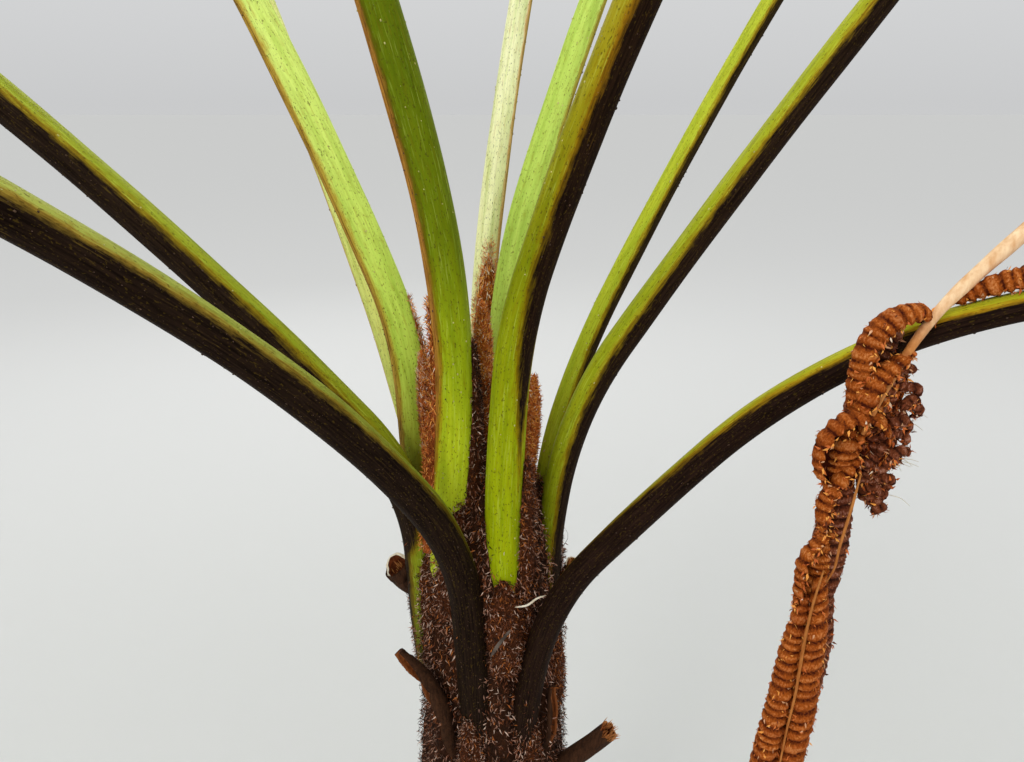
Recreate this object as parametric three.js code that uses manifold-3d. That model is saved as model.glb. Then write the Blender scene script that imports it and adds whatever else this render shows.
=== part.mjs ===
// A rough tree fern: a short fibrous trunk, eleven arching fronds, young croziers, old leaf-base stubs and
// one withered young frond hung over a stalk. Millimetres, +Z up. The origin is the middle of the flat cut
// at ground level, and the front of the plant faces -Y. Directions are degrees from +X.
import * as THREE from "three";
import { mergeVertices } from "three/addons/utils/BufferGeometryUtils.js";
import Module from "manifold-3d";

const wasm = await Module();
wasm.setup();

// The gap that neighbouring pieces keep.
const GAP = 0.3;

// The trunk: radius at heights above the ground, from the root flare to the crown's domed tip.
const TRUNK_PROFILE = [
  [0, 118], [60, 100], [150, 84], [300, 70], [440, 60], [600, 57], [645, 48], [675, 34], [695, 16],
];
const TRUNK_RINGS = 15;
const TRUNK_SIDES = 28;
// Old leaf bases show as ribs that wind slowly up the trunk.
const RIB_COUNT = 7;
const RIB_DEPTH = 0.045;
const FLARE_RIB_DEPTH = 0.09;
const FLARE_HEIGHT = 200;
const RIB_TWIST = 0.9 / 600;
// How far the trunk's rings crowd towards its top: 0 spaces them evenly.
const RING_CROWDING = 0.45;

// Fronds. seat: where the stalk leaves the crown. bends: how steeply it rises, at distances along it.
// across: the stalk's thickness at its base, at 250 mm and at the first leaflets. reach: the whole length.
// tipRise: its slope at the tip. swing: how far the blade turns sideways along its length.
const STALK = 600;
const COURSE_STEP = 5;
const KNEE = 250;
const TIP_ACROSS = 4;
const FRONDS = [
  {
    name: "front_right", facing: -31, seat: { turn: -62, out: 55, up: 440 }, across: [22, 21, 14],
    bends: [[0, 88], [110, 76], [210, 55], [340, 52], [440, 38]],
    stalkRise: 6, tipRise: -32, swing: -6, reach: 2250,
  },
  {
    name: "front_left", facing: -145, seat: { turn: -104, out: 54, up: 455 }, across: [26, 27, 26],
    bends: [[0, 90], [120, 86], [240, 56], [400, 45]], stalkRise: 36, tipRise: -35, swing: 6, reach: 2350,
  },
  {
    name: "left", facing: 180, seat: { turn: -165, out: 54, up: 500 }, across: [30, 28, 25],
    bends: [[0, 90], [110, 86], [230, 50]], stalkRise: 42, tipRise: -42, swing: 8, reach: 2350,
  },
  {
    name: "right", facing: 8, seat: { turn: -15, out: 47, up: 530 }, across: [22, 22, 21],
    bends: [[0, 92], [130, 82], [260, 56]], stalkRise: 52, tipRise: -40, swing: -4, reach: 2300,
  },
  {
    name: "right_thin", facing: 34, seat: { turn: 12, out: 43, up: 620 }, across: [18, 17, 15],
    bends: [[0, 90], [100, 68], [200, 57]], stalkRise: 49, tipRise: -30, swing: 4, reach: 2150,
  },
  {
    name: "back_left", facing: 150, seat: { turn: 164, out: 61, up: 545 }, across: [28, 27, 24],
    bends: [[0, 90], [180, 88], [280, 64]], stalkRise: 55, tipRise: -38, swing: 0, reach: 2350,
  },
  {
    name: "back_left_thin", facing: 135, seat: { turn: 136, out: 62, up: 560 }, across: [23, 22, 20],
    bends: [[0, 78], [120, 70], [260, 62]], stalkRise: 56, tipRise: -14, swing: -24, reach: 2200,
  },
  {
    name: "centre_left", facing: -132, seat: { turn: -136, out: 48, up: 600 }, across: [32, 28, 22],
    bends: [[0, 98], [120, 94], [220, 83], [320, 73]], stalkRise: 64, tipRise: -36, swing: 24, reach: 2300,
  },
  {
    name: "back", facing: 66, seat: { turn: 99, out: 60, up: 575 }, across: [21, 20, 18],
    bends: [[0, 92], [180, 86], [290, 73]], stalkRise: 61, tipRise: -36, swing: 14, reach: 2200,
  },
  {
    name: "back_right", facing: 48, seat: { turn: 80, out: 36, up: 620 }, across: [23, 23, 20],
    bends: [[0, 92], [150, 84], [260, 65]], stalkRise: 54, tipRise: -44, swing: 8, reach: 2250,
  },
  {
    name: "centre_right", facing: -43, seat: { turn: -76, out: 44, up: 560 }, across: [30, 26, 23],
    bends: [[0, 92], [200, 84], [290, 68]], stalkRise: 58, tipRise: -30, swing: -26, reach: 2300,
  },
];
const STALK_STATIONS = [0, 15, 55, 105, 155, 205, 255, 310, 370, 440, 520, STALK];
const STALK_SIDES = 8;
// A stalk's lowest end is rounded where it sits in the trunk.
const SEAT_ROUNDING = 50;
const SEAT_NARROWING = 0.28;

// Leaflets: pairs along the blade, set closer towards the tip, longest two fifths of the way along.
const PAIRS = 18;
const CROWDING = 1.25;
const FIRST_PAIR = 0.02;
const LAST_PAIR = 0.985;
const LONGEST_LEAFLET = 360;
const LONGEST_AT = 0.38;
const FIRST_LEAFLET_SHARE = 0.5;
const LAST_LEAFLET_SHARE = 0.07;
const TAPER_POWER = 0.75;
const LENGTH_UNEVENNESS = 0.07;
const LEAFLET_FILL = 0.8;
// A leaflet's width is at most this share of its length.
const WIDEST_SHARE = 0.34;
// Its root: where it starts, as a share of the rib's radius, and how long it is along the rib.
const ROOT_INSET = 0.7;
const LEAFLET_ROOT = 14;
const ROOT_TO_WIDTH = 0.3;
const SHOULDER_AT = 0.14;
const ELBOW_AT = 0.55;
const ELBOW_WIDTH = 0.72;
// Degrees: how far the two panels droop, how far a leaflet points forward at the blade's root and at its tip,
// and how uneven both are.
const LEAFLET_DROOP = [6, 17];
const DROOP_UNEVENNESS = 4;
const FORWARD_SWEEP = [12, 42];
const SWEEP_UNEVENNESS = 3;
const SWEEP_POWER = 1.5;
const THICKNESS_SHARE = 0.0115;
const LEAST_THICKNESS = 2.2;
const OUTER_THICKNESS = 0.9;
const SMALL_LEAFLET = 150;
const BLADE_RIB_SIDES = 4;
// The pair that the blade is parted before, at the bend of its arch.
const PARTED_BEFORE_PAIR = 8;
// A leaflet that would come this near to another frond is shortened, and in the end left out.
const CLEAR_OVER = 13;
const CLEAR_BESIDE = 10;
const CLEAR_OF_STALK = 9;
const SAMPLE_STEP = 20;
// How much further than their lengths the test looks for stalks and for other leaflets.
const STALK_SEARCH = 60;
const LEAFLET_SEARCH = 40;
const SHORTER_BY = [1, 0.85, 0.7, 0.55, 0.4];

// Young croziers: a stem from the crown up to a rolled or pointed head.
const CROZIERS = [
  { name: "crozier_right", foot: [29, -4, 672], top: [34, 0, 756], across: [10, 12, 14, 12, 3] },
  { name: "crozier_left", foot: [-44, -8, 632], top: [-50, -9, 778], across: [9, 10, 11, 11, 5] },
  { name: "crozier_middle", foot: [-3, 3, 688], top: [-5, 4, 812], across: [11, 12, 11, 13, 6] },
];
const CROZIER_SINK = 10;
const CROZIER_SIDES = 8;
const CROZIER_STEPS = 6;

// Stubs of dropped fronds: foot inside the trunk, then the middle, and the end in the open.
const STUBS = [
  { name: "stub_left_cut", across: [17, 19, 21], course: [[-46, -2, 560], [-66, -4, 571], [-80, -6, 590]] },
  { name: "stub_right_small", across: [11, 12, 11], course: [[48, -2, 563], [58, -4, 572], [66, -6, 585]] },
  { name: "stub_left_dead", across: [24, 22, 12], course: [[-36, -42, 432], [-46, -50, 486], [-70, -48, 530]] },
  { name: "stub_right_dead", across: [10, 11, 10], course: [[40, -36, 415], [50, -42, 452], [50, -44, 498]] },
  { name: "stub_right_broken", across: [16, 17, 16], course: [[46, -20, 385], [72, -28, 410], [101, -36, 447]] },
];
const STUB_SIDES = 8;
const STUB_STEPS = 4;

// The withered young frond: rolled leaflets lie over the front right stalk and hang from it round a dry rib.
// Places are given from the point of the stalk that carries them.
const PERCH = 466;
const WITHERED_ROPE = {
  course: [
    [13, -24, 21], [2, -14, 20], [-9, -6, 13], [-17, -11, 5], [-25, -20, -4], [-25, -25, -20],
    [-30, -25, -37], [-32, -25, -55], [-32, -25, -84], [-35, -25, -110], [-34, -25, -158],
    [-36, -25, -209], [-39, -25, -245], [-41, -24, -330], [-42, -24, -420], [-41, -22, -500],
  ],
  across: [13, 16, 26, 20, 24, 26, 28, 32, 34, 34, 33, 31, 28, 23, 16, 8],
  steps: 36,
};
const WITHERED_SIDE_ROPE = {
  course: [[-1, -4, -7], [-3, -13, -21], [-4, -16, -38], [-4, -17, -60], [-5, -17, -84]],
  across: [8, 15, 19, 17, 6],
  steps: 10,
};
const WITHERED_RIB = {
  course: [
    [-15, -28, -28], [-6, -27, -8], [3, -23, 10], [10, -18, 25], [26, -16, 43], [45, -14, 61], [78, -8, 92],
    [108, -2, 120],
  ],
  across: [7, 7, 8, 8, 8, 8, 8, 6],
  steps: 12,
};
const WITHERED_SIDES = 8;
// One more rolled leaflet lies along the top of the stalk.
const WITHERED_COIL = { from: 496, to: 572, across: [9, 13, 14, 12, 6], steps: 8 };
// It is pressed a little flat where it rests: its middle is nearer than half its thickness.
const COIL_REST = 0.42;

const LOOKS = {
  trunk: { color: 0x2b1d15, roughness: 0.95 },
  stalk: { color: 0x8d9c2e, roughness: 0.5 },
  blade: { color: 0x4d7a22, roughness: 0.55 },
  crozier: { color: 0x9c5324, roughness: 0.85 },
  stub: { color: 0x5a3a22, roughness: 0.9 },
  withered: { color: 0xb4652a, roughness: 0.9 },
};

const degrees = (angle) => (angle * Math.PI) / 180;
const mix = (a, b, t) => a + (b - a) * t;
const smooth = (t) => t * t * (3 - 2 * t);

// The value at x of a chain of [place, value] pairs.
function along(chain, x) {
  const last = chain.length - 1;
  if (x <= chain[0][0]) return chain[0][1];
  if (x >= chain[last][0]) return chain[last][1];
  const i = chain.findIndex((pair, n) => n < last && x < chain[n + 1][0]);
  const [from, to] = [chain[i], chain[i + 1]];
  return mix(from[1], to[1], (x - from[0]) / (to[0] - from[0]));
}

// A small uneven number from -1 to 1, the same for the same place in the plant.
function uneven(a, b, c) {
  const wave = Math.sin(a * 12.9898 + b * 78.233 + c * 37.719) * 43758.5453;
  return 2 * (wave - Math.floor(wave)) - 1;
}

// A closed surface, put together face by face.
class Shell {
  constructor() {
    this.points = [];
    this.faces = [];
  }

  ring(points) {
    return points.map((p) => this.points.push(p) - 1);
  }

  quad([a, b, c, d]) {
    this.faces.push(a, b, c, a, c, d);
  }

  // Faces that run from one loop of points to the next.
  band(from, to) {
    from.forEach((a, i) => {
      const next = (i + 1) % from.length;
      this.quad([a, from[next], to[next], to[i]]);
    });
  }

  fan(loop, tip) {
    loop.forEach((a, i) => this.faces.push(a, loop[(i + 1) % loop.length], tip));
  }

  cap(loop) {
    for (let i = 1; i < loop.length - 1; i += 1) this.faces.push(loop[0], loop[i], loop[i + 1]);
  }

  geometry() {
    const geometry = new THREE.BufferGeometry();
    const places = this.points.flatMap((p) => [p.x, p.y, p.z]);
    geometry.setAttribute("position", new THREE.Float32BufferAttribute(places, 3));
    geometry.setIndex(this.faces);
    return geometry;
  }
}

// A closed solid through rings of points.
function loft(rings) {
  const shell = new Shell();
  const loops = rings.map((points) => shell.ring(points));
  shell.cap([...loops[0]].reverse());
  for (let i = 1; i < loops.length; i += 1) shell.band(loops[i - 1], loops[i]);
  shell.cap(loops[loops.length - 1]);
  return shell.geometry();
}

function round(centre, side, up, radius, sides) {
  return Array.from({ length: sides }, (_, k) => {
    const angle = (2 * Math.PI * (k + 0.5)) / sides;
    return centre.clone()
      .addScaledVector(side, radius * Math.cos(angle))
      .addScaledVector(up, radius * Math.sin(angle));
  });
}

function toManifold(geometry) {
  const bare = geometry.clone();
  bare.deleteAttribute("normal");
  bare.deleteAttribute("uv");
  const merged = mergeVertices(bare, 1e-4);
  return new wasm.Manifold(new wasm.Mesh({
    numProp: 3,
    vertProperties: new Float32Array(merged.getAttribute("position").array),
    triVerts: new Uint32Array(merged.getIndex().array),
  }));
}

function fromManifold(solid) {
  const mesh = solid.getMesh();
  const geometry = new THREE.BufferGeometry();
  geometry.setAttribute("position", new THREE.Float32BufferAttribute(mesh.vertProperties, 3));
  geometry.setIndex(Array.from(mesh.triVerts));
  return geometry;
}

// The largest piece that is left of a solid once others are cut out of it.
function cutClear(geometry, cutters) {
  let solid = toManifold(geometry);
  for (const cutter of cutters) solid = solid.subtract(toManifold(cutter));
  const pieces = solid.decompose().sort((a, b) => b.volume() - a.volume());
  return fromManifold(pieces[0]);
}

// Fronds: the rib's course

function slopeChain(frond) {
  return [...frond.bends, [STALK, frond.stalkRise], [frond.reach, frond.tipRise]];
}

// Points at even steps along the rib, with its direction, its left side and its upper side.
function ribCourse(frond) {
  const slopes = slopeChain(frond);
  const { out, up } = frond.seat;
  const turn = degrees(frond.seat.turn);
  const place = new THREE.Vector3(out * Math.cos(turn), out * Math.sin(turn), up);
  const course = [];
  for (let s = 0; s <= frond.reach + COURSE_STEP; s += COURSE_STEP) {
    const bladeShare = Math.max(0, (s - STALK) / (frond.reach - STALK));
    const facing = degrees(frond.facing + frond.swing * bladeShare);
    const slope = degrees(along(slopes, s));
    const ahead = new THREE.Vector3(
      Math.cos(slope) * Math.cos(facing), Math.cos(slope) * Math.sin(facing), Math.sin(slope),
    );
    const side = new THREE.Vector3(-Math.sin(facing), Math.cos(facing), 0);
    course.push({ place: place.clone(), ahead, side, up: new THREE.Vector3().crossVectors(ahead, side) });
    place.addScaledVector(ahead, COURSE_STEP);
  }
  return (s) => {
    const i = Math.min(course.length - 2, Math.max(0, Math.floor(s / COURSE_STEP)));
    const station = course[i];
    const rest = s - i * COURSE_STEP;
    return { ...station, place: station.place.clone().addScaledVector(station.ahead, rest) };
  };
}

function ribRadius(frond, s) {
  const [base, knee, end] = frond.across;
  const across = along([[0, base], [KNEE, knee], [STALK, end], [frond.reach, TIP_ACROSS]], s);
  const rounding = 1 - SEAT_NARROWING * (1 - Math.sqrt(Math.min(1, Math.max(0, s) / SEAT_ROUNDING)));
  return (across / 2) * rounding;
}

// The bare stalk. With a margin it is the space that its socket needs.
function stalkSolid(frond, margin = 0) {
  const at = ribCourse(frond);
  const rings = STALK_STATIONS.map((s, i) => {
    const { place, ahead, side, up } = at(s);
    const middle = i === 0 ? place.clone().addScaledVector(ahead, -margin) : place;
    return round(middle, side, up, ribRadius(frond, s) + margin, STALK_SIDES);
  });
  return loft(rings);
}

// Leaflets

function pairPlaces(frond) {
  const blade = frond.reach - STALK;
  return Array.from({ length: PAIRS }, (_, k) => {
    const share = mix(FIRST_PAIR, LAST_PAIR, 1 - (1 - k / (PAIRS - 1)) ** CROWDING);
    return STALK + blade * share;
  });
}

function leafletLength(share) {
  if (share < LONGEST_AT) {
    return LONGEST_LEAFLET * mix(FIRST_LEAFLET_SHARE, 1, Math.sin((Math.PI / 2) * (share / LONGEST_AT)));
  }
  return LONGEST_LEAFLET * Math.max(LAST_LEAFLET_SHARE, ((1 - share) / (1 - LONGEST_AT)) ** TAPER_POWER);
}

// A leaflet is two flat panels, joined at an elbow: from the rib outwards, and from the elbow to the tip.
function leafletPlan(frondIndex, frond, at, pair, places, hand, shortening) {
  const s = places[pair];
  const share = (s - STALK) / (frond.reach - STALK);
  const spacing = pair < PAIRS - 1 ? places[pair + 1] - s : s - places[pair - 1];
  const { place, ahead, side, up } = at(s);
  const evenSweep = mix(...FORWARD_SWEEP, share ** SWEEP_POWER);
  const sweep = degrees(evenSweep + SWEEP_UNEVENNESS * uneven(frondIndex, pair, hand));
  const fullLength = leafletLength(share) * (1 + LENGTH_UNEVENNESS * uneven(frondIndex + 3, pair, hand));
  const length = fullLength * shortening;
  const outward = side.clone().multiplyScalar(hand * Math.cos(sweep)).addScaledVector(ahead, Math.sin(sweep));
  const across = ahead.clone().addScaledVector(outward, -ahead.dot(outward)).normalize();
  const width = Math.min(LEAFLET_FILL * spacing * Math.cos(sweep), WIDEST_SHARE * fullLength);
  const panels = [];
  let start = place.clone().addScaledVector(side, hand * ribRadius(frond, s) * ROOT_INSET);
  const lengths = [ELBOW_AT * length, (1 - ELBOW_AT) * length];
  const widths = [[width, width * ELBOW_WIDTH], [width * ELBOW_WIDTH, 0]];
  LEAFLET_DROOP.forEach((droop, i) => {
    const tilt = degrees(droop + DROOP_UNEVENNESS * uneven(frondIndex + 7, pair, hand + i));
    const direction = outward.clone().multiplyScalar(Math.cos(tilt)).addScaledVector(up, -Math.sin(tilt));
    const face = new THREE.Vector3().crossVectors(direction, across).multiplyScalar(-hand);
    panels.push({ start, direction, across, face, length: lengths[i], widths: widths[i] });
    start = start.clone().addScaledVector(direction, lengths[i]);
  });
  return { s, length, width, panels, tip: start };
}

function panelSamples({ start, direction, across, length, widths }) {
  const rows = Math.max(1, Math.ceil(length / SAMPLE_STEP));
  const samples = [];
  for (let i = 0; i <= rows; i += 1) {
    const middle = start.clone().addScaledVector(direction, (length * i) / rows);
    const width = mix(...widths, i / rows);
    const columns = Math.max(1, Math.ceil(width / SAMPLE_STEP));
    for (let j = 0; j <= columns; j += 1) {
      const offset = width * (j / columns - 0.5);
      samples.push(middle.clone().addScaledVector(across, offset));
    }
  }
  return samples;
}

function panelReaches({ start, direction, across, face, length, widths }, point) {
  const from = point.clone().sub(start);
  const forth = from.dot(direction);
  if (forth < -CLEAR_BESIDE || forth > length + CLEAR_BESIDE) return false;
  if (Math.abs(from.dot(face)) > CLEAR_OVER) return false;
  const width = mix(...widths, Math.min(1, Math.max(0, forth / length)));
  return Math.abs(from.dot(across)) < width / 2 + CLEAR_BESIDE;
}

// Whether a leaflet comes too near to what other fronds already fill.
function isCrowded(plan, others) {
  const reach = plan.length + LONGEST_LEAFLET + LEAFLET_SEARCH;
  const root = plan.panels[0].start;
  const samples = plan.panels.flatMap(panelSamples);
  const nearRib = others.ribs.some(({ place, radius }) => (
    root.distanceTo(place) < plan.length + STALK_SEARCH
    && samples.some((point) => point.distanceTo(place) < radius + CLEAR_OF_STALK + SAMPLE_STEP / 2)
  ));
  if (nearRib) return true;
  return others.leaflets.some((other) => (
    root.distanceTo(other.panels[0].start) < reach
    && (samples.some((point) => other.panels.some((panel) => panelReaches(panel, point)))
      || other.samples.some((point) => plan.panels.some((panel) => panelReaches(panel, point))))
  ));
}

function ribSamples(frond) {
  const at = ribCourse(frond);
  const count = Math.floor(frond.reach / SAMPLE_STEP);
  return Array.from({ length: count + 1 }, (_, i) => {
    const s = i * SAMPLE_STEP;
    return { place: at(s).place, radius: ribRadius(frond, s) };
  });
}

// Every frond's leaflets, set out from the lowest frond to the highest so that none meets another.
function setOutLeaflets() {
  const ribs = FRONDS.map(ribSamples);
  const placed = [];
  return FRONDS.map((frond, index) => {
    const at = ribCourse(frond);
    const places = pairPlaces(frond);
    const others = { ribs: ribs.filter((_, i) => i !== index).flat(), leaflets: [...placed] };
    const pairs = places.map((_, pair) => [1, -1].map((hand) => {
      const plans = SHORTER_BY.map((share) => leafletPlan(index, frond, at, pair, places, hand, share));
      return plans.find((plan) => !isCrowded(plan, others)) ?? null;
    }));
    pairs.flat().filter(Boolean).forEach((plan) => {
      placed.push({ ...plan, samples: plan.panels.flatMap(panelSamples) });
    });
    return { places, pairs };
  });
}

// The four corners of a leaflet's section, in the order that its side of the rib needs.
function leafletSection(centre, panel, width, thickness, hand) {
  const corner = (far, high) => centre.clone()
    .addScaledVector(panel.across, (far * width) / 2)
    .addScaledVector(panel.face, (high * thickness) / 2);
  return hand > 0
    ? [corner(-1, -1), corner(-1, 1), corner(1, 1), corner(1, -1)]
    : [corner(-1, 1), corner(-1, -1), corner(1, -1), corner(1, 1)];
}

function addLeaflet(shell, root, plan, hand) {
  const [inner, outer] = plan.panels;
  const thickness = Math.max(LEAST_THICKNESS, plan.length * THICKNESS_SHARE);
  const shoulder = inner.start.clone().addScaledVector(inner.direction, SHOULDER_AT * plan.length);
  const stations = [leafletSection(shoulder, inner, plan.width, thickness, hand)];
  if (plan.length > SMALL_LEAFLET) {
    const thinner = thickness * OUTER_THICKNESS;
    stations.push(leafletSection(outer.start, outer, inner.widths[1], thinner, hand));
  }
  let loop = root;
  for (const station of stations) {
    const next = shell.ring(station);
    shell.band(loop, next);
    loop = next;
  }
  const [tip] = shell.ring([plan.tip]);
  shell.fan(loop, tip);
}

// A length of blade: a four-sided rib with leaflets growing out of its two sides.
function bladeSolid(frond, leaflets, fromPair, toPair, startAt, endAt) {
  const at = ribCourse(frond);
  const shell = new Shell();
  const ringAt = (s) => {
    const { place, side, up } = at(s);
    return shell.ring(round(place, side, up, ribRadius(frond, s), BLADE_RIB_SIDES));
  };
  let last = ringAt(startAt);
  shell.cap([...last].reverse());
  for (let pair = fromPair; pair < toPair; pair += 1) {
    const s = leaflets.places[pair];
    const leftLeaflet = leaflets.pairs[pair][0];
    const root = leftLeaflet ? Math.min(LEAFLET_ROOT, ROOT_TO_WIDTH * leftLeaflet.width) : LEAFLET_ROOT;
    const near = ringAt(s - root / 2);
    const far = ringAt(s + root / 2);
    shell.band(last, near);
    for (let k = 0; k < BLADE_RIB_SIDES; k += 1) {
      const next = (k + 1) % BLADE_RIB_SIDES;
      const patch = [near[k], near[next], far[next], far[k]];
      const hand = { 1: -1, 3: 1 }[k];
      const plan = hand && leaflets.pairs[pair][hand > 0 ? 0 : 1];
      if (plan) addLeaflet(shell, patch, plan, hand);
      else shell.quad(patch);
    }
    last = far;
  }
  const end = ringAt(endAt);
  shell.band(last, end);
  shell.cap(end);
  return shell.geometry();
}

// Trunk, croziers, stubs and the withered frond

function trunkRadius(height, angle) {
  const depth = mix(FLARE_RIB_DEPTH, RIB_DEPTH, smooth(Math.min(1, height / FLARE_HEIGHT)));
  return along(TRUNK_PROFILE, height) * (1 + depth * Math.cos(RIB_COUNT * (angle + RIB_TWIST * height)));
}

function trunkBody() {
  const top = TRUNK_PROFILE[TRUNK_PROFILE.length - 1][0];
  const rings = Array.from({ length: TRUNK_RINGS }, (_, i) => {
    const share = i / (TRUNK_RINGS - 1);
    const height = top * mix(share, Math.sin((Math.PI / 2) * share), RING_CROWDING);
    return Array.from({ length: TRUNK_SIDES }, (_unused, k) => {
      const angle = (2 * Math.PI * k) / TRUNK_SIDES;
      const radius = trunkRadius(height, angle);
      return new THREE.Vector3(radius * Math.cos(angle), radius * Math.sin(angle), height);
    });
  });
  return loft(rings);
}

// A tube of changing thickness through a few points, smoothed between them.
function tube(points, thicknesses, sides, steps, margin = 0) {
  const curve = new THREE.CatmullRomCurve3(points, false, "centripetal");
  const frames = curve.computeFrenetFrames(steps, false);
  const sizes = thicknesses.map((value, i) => [i / (thicknesses.length - 1), value]);
  const rings = Array.from({ length: steps + 1 }, (_, i) => {
    const t = i / steps;
    const middle = curve.getPointAt(t).addScaledVector(frames.tangents[i], i === 0 ? -margin : 0);
    const radius = along(sizes, t) / 2 + margin;
    return round(middle, frames.normals[i], frames.binormals[i], radius, sides);
  });
  return loft(rings);
}

function crozierSolid({ foot, top, across }, margin = 0) {
  const [from, to] = [new THREE.Vector3(...foot), new THREE.Vector3(...top)];
  const direction = to.clone().sub(from).normalize();
  from.addScaledVector(direction, -CROZIER_SINK);
  return tube([from, from.clone().lerp(to, 0.5), to], across, CROZIER_SIDES, CROZIER_STEPS, margin);
}

function stubSolid({ course, across }, margin = 0) {
  const points = course.map((p) => new THREE.Vector3(...p));
  return tube(points, across, STUB_SIDES, STUB_STEPS, margin);
}

// The stalk that carries the withered frond.
const carrierStalk = () => FRONDS.find((frond) => frond.name === "front_right");

function witheredSolid({ course, across, steps }, margin = 0) {
  const perch = ribCourse(carrierStalk())(PERCH).place;
  const points = course.map((offset) => perch.clone().add(new THREE.Vector3(...offset)));
  return tube(points, across, WITHERED_SIDES, steps, margin);
}

function witheredCoil({ from, to, across, steps }) {
  const carrier = carrierStalk();
  const at = ribCourse(carrier);
  const points = across.map((width, i) => {
    const s = mix(from, to, i / (across.length - 1));
    const { place, up } = at(s);
    return place.clone().addScaledVector(up, ribRadius(carrier, s) + COIL_REST * width);
  });
  return tube(points, across, WITHERED_SIDES, steps);
}

// The plant

const plant = new THREE.Group();
plant.name = "tree_fern";

function addNode(name, look, geometry) {
  const material = new THREE.MeshStandardMaterial({ ...LOOKS[look], metalness: 0 });
  const mesh = new THREE.Mesh(geometry, material);
  mesh.name = name;
  plant.add(mesh);
}

function addStalks() {
  const spaces = [];
  for (const frond of FRONDS) {
    addNode(`stalk_${frond.name}`, "stalk", cutClear(stalkSolid(frond), spaces));
    spaces.push(stalkSolid(frond, GAP));
  }
  return spaces;
}

function addBlades() {
  const leaflets = setOutLeaflets();
  FRONDS.forEach((frond, i) => {
    const { places } = leaflets[i];
    const parting = (places[PARTED_BEFORE_PAIR - 1] + places[PARTED_BEFORE_PAIR]) / 2;
    const inner = bladeSolid(frond, leaflets[i], 0, PARTED_BEFORE_PAIR, STALK + GAP, parting - GAP / 2);
    const outer = bladeSolid(frond, leaflets[i], PARTED_BEFORE_PAIR, PAIRS, parting + GAP / 2, frond.reach);
    addNode(`blade_${frond.name}_inner`, "blade", inner);
    addNode(`blade_${frond.name}_outer`, "blade", outer);
  });
}

function addCroziersAndStubs(spaces) {
  for (const crozier of CROZIERS) {
    addNode(crozier.name, "crozier", cutClear(crozierSolid(crozier), spaces));
    spaces.push(crozierSolid(crozier, GAP));
  }
  for (const stub of STUBS) {
    addNode(stub.name, "stub", cutClear(stubSolid(stub), spaces));
    spaces.push(stubSolid(stub, GAP));
  }
}

function addWitheredFrond() {
  const seat = stalkSolid(carrierStalk(), GAP);
  const ropeSpace = witheredSolid(WITHERED_ROPE, GAP);
  const sideSpace = witheredSolid(WITHERED_SIDE_ROPE, GAP);
  const ribSpace = witheredSolid(WITHERED_RIB, GAP);
  addNode("withered_rope", "withered", cutClear(witheredSolid(WITHERED_ROPE), [seat]));
  addNode("withered_side_rope", "withered", cutClear(witheredSolid(WITHERED_SIDE_ROPE), [seat, ropeSpace]));
  addNode("withered_rib", "withered", cutClear(witheredSolid(WITHERED_RIB), [seat, ropeSpace, sideSpace]));
  addNode("withered_coil", "withered", cutClear(witheredCoil(WITHERED_COIL), [seat, ropeSpace, ribSpace]));
}

const spaces = addStalks();
addBlades();
addCroziersAndStubs(spaces);
addWitheredFrond();
addNode("trunk", "trunk", cutClear(trunkBody(), spaces));

export default plant;
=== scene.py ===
import math

import bpy
import numpy as np
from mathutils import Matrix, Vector


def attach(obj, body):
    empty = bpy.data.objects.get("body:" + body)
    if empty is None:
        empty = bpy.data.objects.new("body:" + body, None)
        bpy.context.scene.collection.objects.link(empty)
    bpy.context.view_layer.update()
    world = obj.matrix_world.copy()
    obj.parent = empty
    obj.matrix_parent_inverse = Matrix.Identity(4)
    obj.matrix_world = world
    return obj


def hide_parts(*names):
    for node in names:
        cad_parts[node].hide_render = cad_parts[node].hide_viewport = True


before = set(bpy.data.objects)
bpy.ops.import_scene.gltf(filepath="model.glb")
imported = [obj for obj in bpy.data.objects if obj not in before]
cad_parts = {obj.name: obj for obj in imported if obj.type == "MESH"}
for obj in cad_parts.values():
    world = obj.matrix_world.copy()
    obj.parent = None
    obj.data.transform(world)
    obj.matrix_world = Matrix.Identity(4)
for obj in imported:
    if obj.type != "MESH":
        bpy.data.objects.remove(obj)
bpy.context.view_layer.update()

MM = 0.001
FULL_TURN = 2 * math.pi

# Trunk: radius at heights above the ground, and the ribs that old leaf bases leave on it.
TRUNK_PROFILE = [
    (0, 118), (60, 100), (150, 84), (300, 70), (440, 60), (600, 57), (645, 48), (675, 34), (695, 16),
]
TRUNK_TOP = 695
RIB_COUNT = 7
RIB_DEPTH = 0.045
FLARE_RIB_DEPTH = 0.09
FLARE_HEIGHT = 200
RIB_TWIST = 0.9 / 600

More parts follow.
